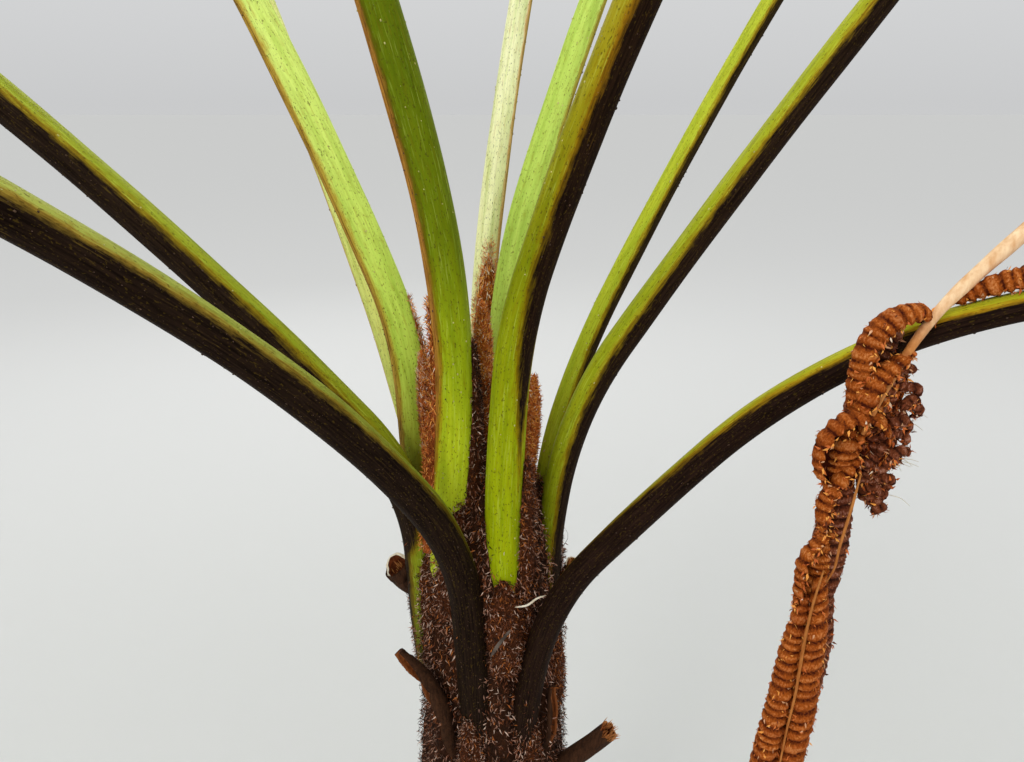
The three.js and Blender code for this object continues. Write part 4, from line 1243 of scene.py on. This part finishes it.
def make_croziers():
    rng = np.random.default_rng(41)
    hairs = Flakes(HAIR_COLOURS, "crozier")
    for crozier in CROZIERS:
        foot, top = np.array(crozier["foot"], float), np.array(crozier["top"], float)
        direction = unit(top - foot)
        foot = foot - CROZIER_SINK * direction
        length = np.linalg.norm(top - foot)
        t = np.linspace(0, 1, CROZIER_RINGS)
        places = mix(foot, top, t[:, None])
        _, sides, ups = side_frames(places, (0.0, -1.0, 0.0))
        folds = 0.92 + 0.1 * np.abs(np.sin(math.pi * t * length / 2.6))
        radius = even(crozier["across"], t) / 2 * folds * np.sqrt(np.clip((1 - t) * 22 + 0.02, 0, 1))
        body = Bundle()
        add_tube(body, places, sides, ups, radius, CROZIER_COLUMNS)
        body.make(f"{crozier['name']}_core", MATERIALS["crozier"], "crozier", [crozier["name"]])
        count = int(CROZIER_HAIRS_PER_MM * length)
        t = rng.uniform(0.02, 0.985, count)
        angle = rng.uniform(0, FULL_TURN, count)
        out = np.cos(angle)[:, None] * ups[0] + np.sin(angle)[:, None] * sides[0]
        origin = mix(foot, top, t[:, None]) + out * (even(crozier["across"], t) / 2 * 0.95)[:, None]
        starts = np.array([start for start, _ in crozier["weights"]])
        zone = np.searchsorted(starts, t, side="right") - 1
        weights = np.array([weights for _, weights in crozier["weights"]])[zone]
        lengths = rng.uniform(*CROZIER_HAIR_LENGTHS, count) * np.where(t > 0.9, 0.6, 1)
        hairs.scatter(rng, origin, np.broadcast_to(direction, out.shape), out, lengths, weights,
                      CROZIER_HAIR_SLIMNESS, crozier["spin"], (0.0, 0.4))
    hairs.make("crozier_hairs")


# Stubs

# Cups are hollow ends. wall: how far out the hollow reaches, in radii. slant: how far the end runs out on the
# side away from the front, for each mm across. pale: whether the rim is a clean cut.
CUPS = [
    dict(name="stub_left_cut", course=[(-46, -2, 560), (-66, -4, 572), (-82, -6, 594)],
         across=(17, 20, 23), wall=0.76, slant=0.7, pale=True),
    dict(name="stub_right_small", course=[(48, -2, 563), (60, -4, 574), (68, -6, 595)],
         across=(11, 12, 12), wall=0.78, slant=0.6, pale=True),
    dict(name="stub_right_broken", course=[(46, -20, 385), (72, -28, 410), (101, -36, 447)],
         across=(16, 17, 16), wall=0.8, slant=0.2, pale=False),
]
CUP_RINGS = 26
CUP_COLUMNS = 28
HOLLOW_RINGS = 12
# A clean cut and a torn end: how uneven it is, how many splinters stand in it, and how far out, in radii.
CUT_END = (0.3, 14, (0.3, 0.78))
TORN_END = (1.5, 60, (0.4, 0.96))
SPLINTER_RADII = (0.5, 0.45, 0.3, 0.08)
# Channels are dead leaf stalks that have dried and rolled. open: the side that they are open to. gap: how
# wide they are open, in degrees.
CHANNELS = [
    dict(name="stub_left_dead", course=[(-36, -42, 432), (-46, -50, 488), (-58, -51, 518), (-74, -47, 536)],
         across=(24, 22, 21, 18, 10), open=(-0.85, -0.4, 0.35), gap=130),
    dict(name="stub_right_dead", course=[(40, -36, 415), (50, -42, 452), (50, -44, 498)],
         across=(10, 10, 11, 10, 7), open=(0.8, -0.6, 0.1), gap=110),
]


def make_cup(rng, number, cup, splinters):
    rows, columns = CUP_RINGS, CUP_COLUMNS
    unevenness, splinter_count, inset = CUT_END if cup["pale"] else TORN_END
    places = smooth_course(cup["course"], rows)
    ahead, sides, ups = side_frames(places, (0.0, -1.0, 0.2))
    t = np.linspace(0, 1, rows)
    around = turns(columns)
    radius = even(cup["across"], t) / 2
    worn = 0.97 + 0.04 * np.sin(6 * around + number)[None] + 0.03 * np.sin(11 * around + 9 * t[:, None])
    outer = tube_points(places, sides, ups, radius[:, None] * worn, around)
    ragged = rng.normal(0, unevenness, columns) - 0.6
    reach = ragged - cup["slant"] * radius[-1] * (1 + np.cos(around))
    for row, share in ((-1, 1.0), (-2, 0.55), (-3, 0.25)):
        outer[row] += ahead[-1] * (reach * share)[:, None]
    middle = places[-1] + ahead[-1] * reach[:, None]
    rim = mix(middle, outer[-1], cup["wall"])
    below = slice(0, rows - 3)
    hollow = radius[below, None] * worn[below] * cup["wall"] * 0.96
    deep = tube_points(places[below], sides[below], ups[below], hollow, around)
    grid = np.concatenate([outer, rim[None], deep[::-1][:HOLLOW_RINGS]])
    kinds = np.repeat([0] * (rows - 1) + [1] + [2] * HOLLOW_RINGS, columns)
    floor = rows - 4 - HOLLOW_RINGS
    bottom = len(grid) * columns
    shell = Bundle()
    shell.add(np.concatenate([grid.reshape(-1, 3), places[floor:floor + 1], places[:1]]),
              [band_faces(len(grid), columns), cap_faces(bottom - columns, columns, bottom, True),
               cap_faces(0, columns, bottom + 1, False)], [kinds, 2, 0])
    rim_material = MATERIALS["cut_rim"] if cup["pale"] else MATERIALS["torn"]
    shell.make(f"{cup['name']}_shell", [MATERIALS["stub"], rim_material, MATERIALS["stub_inside"]],
               "old_stub", [cup["name"]])
    for _ in range(splinter_count):
        angle = rng.uniform(0, FULL_TURN)
        out = math.cos(angle) * ups[-1] + math.sin(angle) * sides[-1]
        start = places[-1] + out * radius[-1] * rng.uniform(*inset)
        start = start - ahead[-1] * (cup["slant"] * radius[-1] + 3.5)
        way = unit(ahead[-1] + out * rng.normal(0.1, 0.2))
        run = start + way * np.linspace(0, rng.uniform(4, 9), len(SPLINTER_RADII))[:, None]
        add_run(splinters, run, out + 0.01, SPLINTER_RADII, 5)


def make_stubs():
    rng = np.random.default_rng(51)
    splinters = Bundle()
    for number, cup in enumerate(CUPS):
        make_cup(rng, number, cup, splinters)
    for channel in CHANNELS:
        hull = Bundle()
        add_roll(hull, rng, channel["course"], channel["across"], spacing=40, slant=0.3, gap=channel["gap"],
                 slit=channel["open"], wall=2.2, depth=0.05, inner_kind=1)
        materials = [MATERIALS["stub"], MATERIALS["channel"]]
        hull.make(f"{channel['name']}_shell", materials, "old_stub", [channel["name"]])
    splinters.make("stub_splinters", MATERIALS["torn"], "old_stub")


# Dry bits of leaf that have fallen into the crown: material, course and width.
DRY_BITS = [
    ("straw", [(19, -78, 602), (28, -81, 606), (35, -80, 611), (42, -76, 611)], 1.6),
    ("grey_bit", [(1, -80, 559), (6, -83, 571), (16, -80, 584)], 2.8),
]


def make_dry_bits():
    t = np.linspace(0, 1, 14)
    around = turns(8)
    for material, course, width in DRY_BITS:
        bits = Bundle()
        places = smooth_course(course, len(t))
        _, sides, ups = side_frames(places, (0.0, -1.0, 0.3))
        taper = np.sqrt(np.clip(4 * t * (1 - t), 0.02, 1)) * width / 2
        rings = tube_points(places, sides, ups * 0.16, taper, around)
        add_rings(bits, rings, (places[:1], places[-1:]))
        bits.make(f"dry_{material}", MATERIALS[material], "withered_leaflet")


# The withered frond

ROLL_COLUMNS = 13
LOBES_PER_MM = 2.6
LOBE_LENGTHS = (1.8, 3.8)
LOBE_SLIMNESS = 0.36


def add_roll(bundle, rng, course, across, spacing=6.0, slant=0.4, gap=90, slit=(0, -1, 0), hollow=None,
             wall=1.3, depth=0.3, inner_kind=0, step=1.15, lobes=None):
    """A rolled leaflet: a ribbed wall round a course, open towards the slit's direction or a hollow's place.
    spacing: from ridge to ridge. slant: how far a ridge climbs in a whole turn, in ridges. gap: how wide it
    is open, in degrees. depth: of the folds between the ridges, in radii. step: from ring to ring. lobes: the
    flakes that its lobes join, and the shares of their colours."""
    length = np.linalg.norm(np.diff(smooth_course(course, 90), axis=0), axis=1).sum()
    rows, columns = int(length / step) + 8, ROLL_COLUMNS
    places = smooth_course(course, rows)
    aim = np.asarray(slit, float) if hollow is None else np.asarray(hollow, float) - places
    ahead, sides, ups = side_frames(places, -aim)
    t = np.linspace(0, 1, rows)
    half_width = even(across, t) / 2
    wave = (t * length / spacing)[:, None] + slant * np.linspace(-0.5, 0.5, columns)[None]
    wave = wave + 0.2 * np.sin(wave * 1.7 + 5 * rng.random()) + 0.12 * np.sin(wave * 0.6 + 5 * rng.random())
    strength = rng.uniform(0.5, 1, int(wave.max()) + 3)[np.floor(wave).astype(int) + 1]
    ridge = np.abs(np.sin(math.pi * wave)) ** 0.6
    limit = math.radians(180 - gap / 2) * (1 - 0.16 * (1 - ridge[:, columns // 2]))
    around = np.linspace(-1, 1, columns)[None] * limit[:, None]
    radius = half_width[:, None] * (1 - depth * strength * (1 - ridge)) * rng.uniform(0.93, 1.05, wave.shape)
    outer = tube_points(places, sides, ups, radius, around)
    inner = tube_points(places, sides, ups, np.maximum(radius - wall, radius * 0.35), around)[:, ::-1]
    section = 2 * columns
    j = np.arange(columns - 1)
    start = np.stack([j, j + 1, section - 2 - j, section - 1 - j], 1)
    end = start[:, ::-1] + (rows - 1) * section
    kinds = np.concatenate([np.zeros(columns - 1), np.full(columns + 1, inner_kind)])
    face_kinds = np.concatenate([np.tile(kinds, rows - 1), np.zeros(2 * (columns - 1))])
    faces = np.concatenate([band_faces(rows, section), start, end])
    # ridge holds painted light for the withered material: high on the ridges' backs for painted highlights,
    # low in the folds and 0.08 on the inner wall for painted shade in the hollow.
    value = np.concatenate([ridge * mix(0.7, 1, strength), np.full((rows, columns), 0.08)], 1)
    bundle.add(np.concatenate([outer, inner], 1), faces, face_kinds, ridge=value.ravel())
    if lobes is not None:
        # Shrivelled lobes that stand off its skin, more of them along its edges.
        count = int(length * LOBES_PER_MM)
        row = rng.integers(0, rows, count)
        on_edge = rng.random(count) < 0.5
        column = np.where(on_edge, rng.choice([0, columns - 1], count), rng.integers(0, columns, count))
        face = unit(outer[row, column] - places[row])
        along = unit(ahead[row] + face * 0.4)
        flakes, weights = lobes
        flakes.scatter(rng, outer[row, column] - face * 0.3, along, face, rng.uniform(*LOBE_LENGTHS, count),
                       weights, LOBE_SLIMNESS, 1.3, (-0.2, 0.35))


# The stalk that the withered frond hangs over, and how far up it hangs.
CARRIER = "front_right"
PERCH = 466

# Rolled leaflets of the withered frond: bright or dull, thickness, how it is rolled, and its course from the
# place that it hangs over.
ROLLS = [
    ("bright", (8, 14, 16, 16, 15, 13, 8), dict(spacing=5.0, hollow=(-3, -26, -12), gap=130, depth=0.18),
     [(8, -16, 16), (-1, -19, 20), (-13, -20, 16), (-21, -21, 6), (-24, -22, -5), (-25, -22, -16),
      (-26, -22, -28)]),
    ("bright", (5, 13, 16, 15, 7), dict(spacing=5.4, slit=(0.8, -0.5, -0.3), gap=110, depth=0.22),
     [(-2, -26, 3), (-10, -27, -4), (-18, -28, -13), (-22, -28, -23), (-24, -26, -33)]),
    ("bright", (5, 11, 13, 13, 8), dict(spacing=5.6, slit=(0.4, -0.9, -0.2), gap=100),
     [(-4, -24, -10), (-9, -25, -20), (-14, -25, -30), (-18, -25, -41), (-21, -25, -52)]),
    ("bright", (5, 13, 16, 17, 17, 14, 6), dict(spacing=5.8, hollow=(-27, -46, -54), gap=130),
     [(-12, -26, -58), (-13, -28, -44), (-20, -29, -34), (-31, -29, -36), (-38, -29, -47), (-38, -29, -59),
      (-33, -27, -70)]),
    ("bright", (8, 17, 17, 8), dict(spacing=5.2, slit=(0, 1, 0), gap=100),
     [(-26, -22, -38), (-28, -22, -50), (-28, -22, -62), (-29, -23, -74)]),
    ("bright", (5, 11, 14, 15, 12, 6), dict(spacing=5.6, slit=(0.7, -0.7, -0.2), gap=100),
     [(-21, -28, -54), (-26, -30, -61), (-31, -30, -70), (-34, -30, -80), (-34, -30, -90), (-33, -28, -98)]),
    ("bright", (5, 12, 16, 15, 13, 6), dict(spacing=5.6, hollow=(-28, -46, -118), gap=120),
     [(-26, -27, -97), (-33, -29, -103), (-38, -29, -112), (-39, -29, -122), (-39, -28, -133),
      (-41, -26, -146)]),
    ("bright", (8, 15, 15, 9), dict(spacing=5.4, slit=(0, 1, 0), gap=100),
     [(-31, -23, -98), (-32, -23, -112), (-33, -23, -126), (-36, -23, -140)]),
    ("dull", (8, 15, 16, 15, 13, 8), dict(spacing=5.8, slit=(0.2, 0.9, 0.1), gap=90),
     [(-26, -22, -52), (-27, -23, -70), (-26, -23, -90), (-25, -23, -108), (-25, -23, -128),
      (-26, -23, -146)]),
    ("bright", (7, 13, 14, 15, 15, 15, 16, 15, 12, 5),
     dict(spacing=6.4, slit=(0.5, 0.8, 0), gap=110, slant=0.2, depth=0.4),
     [(-38, -26, -136), (-40, -26, -160), (-42, -26, -182), (-44, -27, -206), (-46, -27, -228),
      (-48, -27, -250), (-50, -26, -300), (-51, -25, -380), (-48, -24, -450), (-44, -23, -492)]),
    ("bright", (8, 14, 16, 17, 17, 17, 17, 16, 12, 5),
     dict(spacing=7.4, slit=(-0.3, 0.9, 0), gap=100, slant=1.3, depth=0.4),
     [(-33, -29, -122), (-31, -30, -146), (-31, -30, -170), (-31, -29, -196), (-31, -29, -222),
      (-33, -28, -246), (-34, -26, -300), (-34, -25, -380), (-37, -24, -450), (-41, -23, -490)]),
    ("dull", (8, 12, 11, 10, 10, 12, 11, 5), dict(spacing=6.4, slit=(-0.6, 0.7, 0), gap=90, slant=0.8),
     [(-27, -22, -122), (-24, -22, -148), (-22, -21, -172), (-24, -21, -212), (-26, -22, -242),
      (-26, -21, -300), (-27, -21, -380), (-34, -22, -460)]),
    ("dull", (8, 13, 15, 14, 5), dict(spacing=7.0, slit=(0, -1, 0), gap=100, slant=-0.8, step=2),
     [(-35, -17, -140), (-37, -17, -200), (-43, -16, -260), (-48, -14, -380), (-45, -16, -470)]),
    ("dull", (8, 13, 14, 16, 14, 5), dict(spacing=7.4, slit=(0.2, -1, 0), gap=110, slant=0.9, step=2),
     [(-27, -14, -60), (-28, -14, -130), (-30, -14, -200), (-34, -13, -300), (-37, -13, -400),
      (-39, -16, -474)]),
    ("dull", (7, 14, 15, 14, 8), dict(spacing=6.0, slit=(0.6, 0.7, 0), gap=100),
     [(-6, -14, 12), (-12, -14, 2), (-17, -14, -10), (-20, -15, -28), (-23, -16, -56)]),
    ("dull", (8, 17, 20, 17, 6), dict(spacing=5.6, slit=(0.2, 0.9, 0), gap=90),
     [(-6, -16, -6), (-9, -17, -22), (-10, -18, -40), (-10, -18, -60), (-11, -18, -82)]),
]
# Small curls in a bunch beside the rope, from the same place: how far down they hang, how many, where their
# middle lies, how far they bow out of it, and their size and thickness.
BUNCH_TOP = -8
BUNCH_BOTTOM = -84
BUNCH_COUNT = 44
BUNCH_MIDDLE = (-8, -23)
BUNCH_BOW = 7.5
CURL_SIZES = (3.0, 5.0)
CURL_ACROSS = (1.5, 4.6, 5.8, 5.8, 4.6, 1.5)
# A rolled leaflet along the top of the stalk: where it starts and ends, its thickness, and how far its middle
# lies off the stalk, as a share of that.
COIL_START = 499
COIL_END = 569
COIL_ACROSS = (7, 12, 13, 11, 5)
COIL_REST = 0.42
MAIN_RIB_COURSE = [(-24, -32, -38), (-17, -31, -17), (-5, -26, 5), (10, -19, 23), (27, -16, 41),
                   (45, -14, 59), (78, -8, 91), (108, -2, 120)]
MAIN_RIB_ACROSS = (2, 4, 5, 7, 8, 8, 8, 6)
RIB_CLINGS_TO = 0.3
ROPE_RIBS = [
    ((1.0, 1.6, 1.6, 1.4, 0.8),
     [(-22, -33, -60), (-25, -35, -80), (-28, -36, -100), (-29, -36, -114), (-31, -34, -124)]),
    ((1.0, 2.0, 1.3, 1.1, 1.1, 1.1, 1.0, 0.8),
     [(-34, -35, -116), (-37, -36, -134), (-38, -34.5, -160), (-38, -33.5, -200), (-40, -33.5, -230),
      (-41, -32, -300), (-42, -30, -400), (-41, -26, -496)]),
]
WITHERED_HAIRS = 16


def add_rod(bundle, course, across, columns=12, rows=60, clinging=0.0):
    """A thin rib along a course. clinging: up to which share of it the rolled leaflets cling to it."""
    t = np.linspace(0, 1, rows)
    radius = even(across, t) / 2 * (0.98 + 0.03 * np.sin(t * 50))
    held = smooth((clinging - t) / 0.16 + 0.5)
    add_run(bundle, smooth_course(course, rows), (0.0, -1.0, 0.0), radius, columns, clinging=held)


def make_withered(courses):
    rng = np.random.default_rng(61)
    frond, course = by_name(courses)[CARRIER]
    perch = course.at(PERCH)[0][0]
    rolls = dict(bright=Bundle(), dull=Bundle())
    flakes = Flakes(HAIR_COLOURS, "withered_leaflet")
    lobes = {kind: (flakes, shares) for kind, shares in LOBE_COLOURS.items()}
    for kind, across, settings, points in ROLLS:
        if "hollow" in settings:
            settings = settings | dict(hollow=perch + np.array(settings["hollow"], float))
        add_roll(rolls[kind], rng, perch + np.array(points, float), across, lobes=lobes[kind], **settings)
    for k in range(BUNCH_COUNT):
        share = k / (BUNCH_COUNT - 1)
        bow = BUNCH_BOW * math.sin(math.pi * min(1, 0.15 + share)) * (1, -1, 0.2)[k % 3]
        middle_x, middle_y = BUNCH_MIDDLE
        centre = perch + (middle_x + bow + rng.normal(0, 1.2), middle_y + rng.normal(0, 3.0),
                          mix(BUNCH_TOP, BUNCH_BOTTOM, share))
        size = rng.uniform(*CURL_SIZES) * mix(0.75, 1, math.sin(math.pi * share))
        tilt = rng.uniform(-0.9, 0.9)
        angles = np.radians(np.linspace(-20, 215, len(CURL_ACROSS)))
        first = np.array([math.cos(tilt), rng.normal(0, 0.3), math.sin(tilt)])
        second = np.array([-math.sin(tilt), rng.normal(-0.3, 0.3), math.cos(tilt)])
        points = centre + size * (np.cos(angles)[:, None] * first + np.sin(angles)[:, None] * second)
        add_roll(rolls["dull"], rng, points, CURL_ACROSS, spacing=3.2, hollow=centre, wall=0.9,
                 lobes=lobes["dull"])
    s = np.linspace(COIL_START, COIL_END, 8)
    place, _, side, up = course.at(s)
    across = np.interp(s, np.linspace(COIL_START, COIL_END, len(COIL_ACROSS)), COIL_ACROSS)
    points = place + up * (rib_radius(frond, s) + COIL_REST * across)[:, None]
    add_roll(rolls["bright"], rng, points, COIL_ACROSS, spacing=5.0, slit=-up.mean(0), gap=70,
             lobes=lobes["bright"])
    dry, thin, hairs = Bundle(), Bundle(), Bundle()
    add_rod(dry, perch + np.array(MAIN_RIB_COURSE, float), MAIN_RIB_ACROSS, 16, 80, RIB_CLINGS_TO)
    for across, points in ROPE_RIBS:
        add_rod(thin, perch + np.array(points, float), across)
    for _ in range(WITHERED_HAIRS):
        start = perch + np.array([rng.uniform(-2, 4), rng.uniform(-24, -14), rng.uniform(-80, -10)])
        reach = np.array([rng.uniform(5, 14), rng.normal(0, 3), rng.uniform(-7, 2)])
        add_rod(hairs, [start, start + reach * (0.5, 0.7, 0.2), start + reach], (0.45, 0.4, 0.2), 4, 8)
    dry.make("withered_main_rib", MATERIALS["dry_rib"], "dry_rib", ["withered_rib"])
    thin.make("withered_rope_ribs", MATERIALS["rope_rib"], "dry_rib")
    hairs.make("withered_hairs", MATERIALS["straw"], "withered_leaflet")
    flakes.make("withered_lobes")
    rolls["bright"].make("withered_pinnules", MATERIALS["withered"], "withered_leaflet",
                         ["withered_rope", "withered_coil"])
    rolls["dull"].make("withered_back_pinnules", MATERIALS["withered_dull"], "withered_leaflet",
                       ["withered_side_rope"])


# Floor, light and camera

CAMERA_PLACE = (0.017, -0.55, 0.95)
CAMERA_PITCH = 20
FOCAL_PIXELS = 769
IMAGE_WIDTH = 1024
SENSOR = 36
HORIZON_LIGHT = 0.6
ZENITH_LIGHT = 1.15
FLOOR_REACH = 60
LIT_PLACE = (0.0, 0.0, 0.75)
# Round lamps: place, width, watts and colour.
LAMPS = {
    "key": ((-1.3, -1.9, 2.0), 1.2, 24, (1.0, 0.98, 0.95)),
    "fill": ((1.6, -1.7, 0.9), 1.4, 5, (1.0, 0.99, 0.97)),
    "top": ((0.4, 0.3, 4.2), 3.0, 40, (1.0, 1.0, 1.0)),
    "back": ((-0.8, 2.6, 2.2), 2.0, 12, (0.97, 0.99, 1.0)),
}


def make_floor():
    mesh = bpy.data.meshes.new("floor")
    corners = [(x * FLOOR_REACH, y * FLOOR_REACH, 0) for x, y in ((-1, -1), (1, -1), (1, 1), (-1, 1))]
    mesh.from_pydata(corners, [], [(0, 1, 2, 3)])
    floor = put("floor", mesh)
    paint = Paint("floor_pale", 0.9, 0.1)
    mesh.materials.append(paint.finish(colour("#cfcfcd")))


def light_the_studio():
    for name, (place, size, watts, tone) in LAMPS.items():
        light = bpy.data.lights.new(name, "AREA")
        light.shape = "DISK"
        light.size = size
        light.energy = watts
        light.color = tone
        lamp = put(name, light)
        lamp.location = place
        lamp.rotation_euler = (Vector(LIT_PLACE) - Vector(place)).to_track_quat("-Z", "Y").to_euler()
        lamp.visible_camera = False
    world = bpy.data.worlds.new("studio")
    world.use_nodes = True
    tree = world.node_tree
    background = tree.nodes["Background"]
    background.inputs["Color"].default_value = (0.98, 0.99, 1.0, 1)
    direction = tree.nodes.new("ShaderNodeTexCoord")
    split = tree.nodes.new("ShaderNodeSeparateXYZ")
    rise = tree.nodes.new("ShaderNodeMapRange")
    rise.inputs["To Min"].default_value = HORIZON_LIGHT
    rise.inputs["To Max"].default_value = ZENITH_LIGHT
    tree.links.new(direction.outputs["Generated"], split.inputs[0])
    tree.links.new(split.outputs["Z"], rise.inputs["Value"])
    tree.links.new(rise.outputs["Result"], background.inputs["Strength"])
    bpy.context.scene.world = world


def make_camera():
    camera = bpy.data.cameras.new("camera")
    camera.sensor_width = SENSOR
    camera.sensor_fit = "HORIZONTAL"
    camera.lens = SENSOR * FOCAL_PIXELS / IMAGE_WIDTH
    camera.clip_start = 0.02
    viewer = put("camera", camera)
    viewer.location = CAMERA_PLACE
    viewer.rotation_euler = (math.radians(90 - CAMERA_PITCH), 0, 0)
    bpy.context.scene.camera = viewer


make_camera()
light_the_studio()
make_floor()
bpy.context.scene.view_settings.view_transform = "Standard"

frond_courses = [Course(frond) for frond in FRONDS]
make_stalks(frond_courses)
for number, plans in enumerate(set_out_leaflets(frond_courses)):
    make_blade(number, FRONDS[number], frond_courses[number], plans)
make_trunk()
make_old_bases()
make_roots()
make_scales(frond_courses)
make_fibres(frond_courses)
make_croziers()
make_stubs()
make_dry_bits()
make_withered(frond_courses)
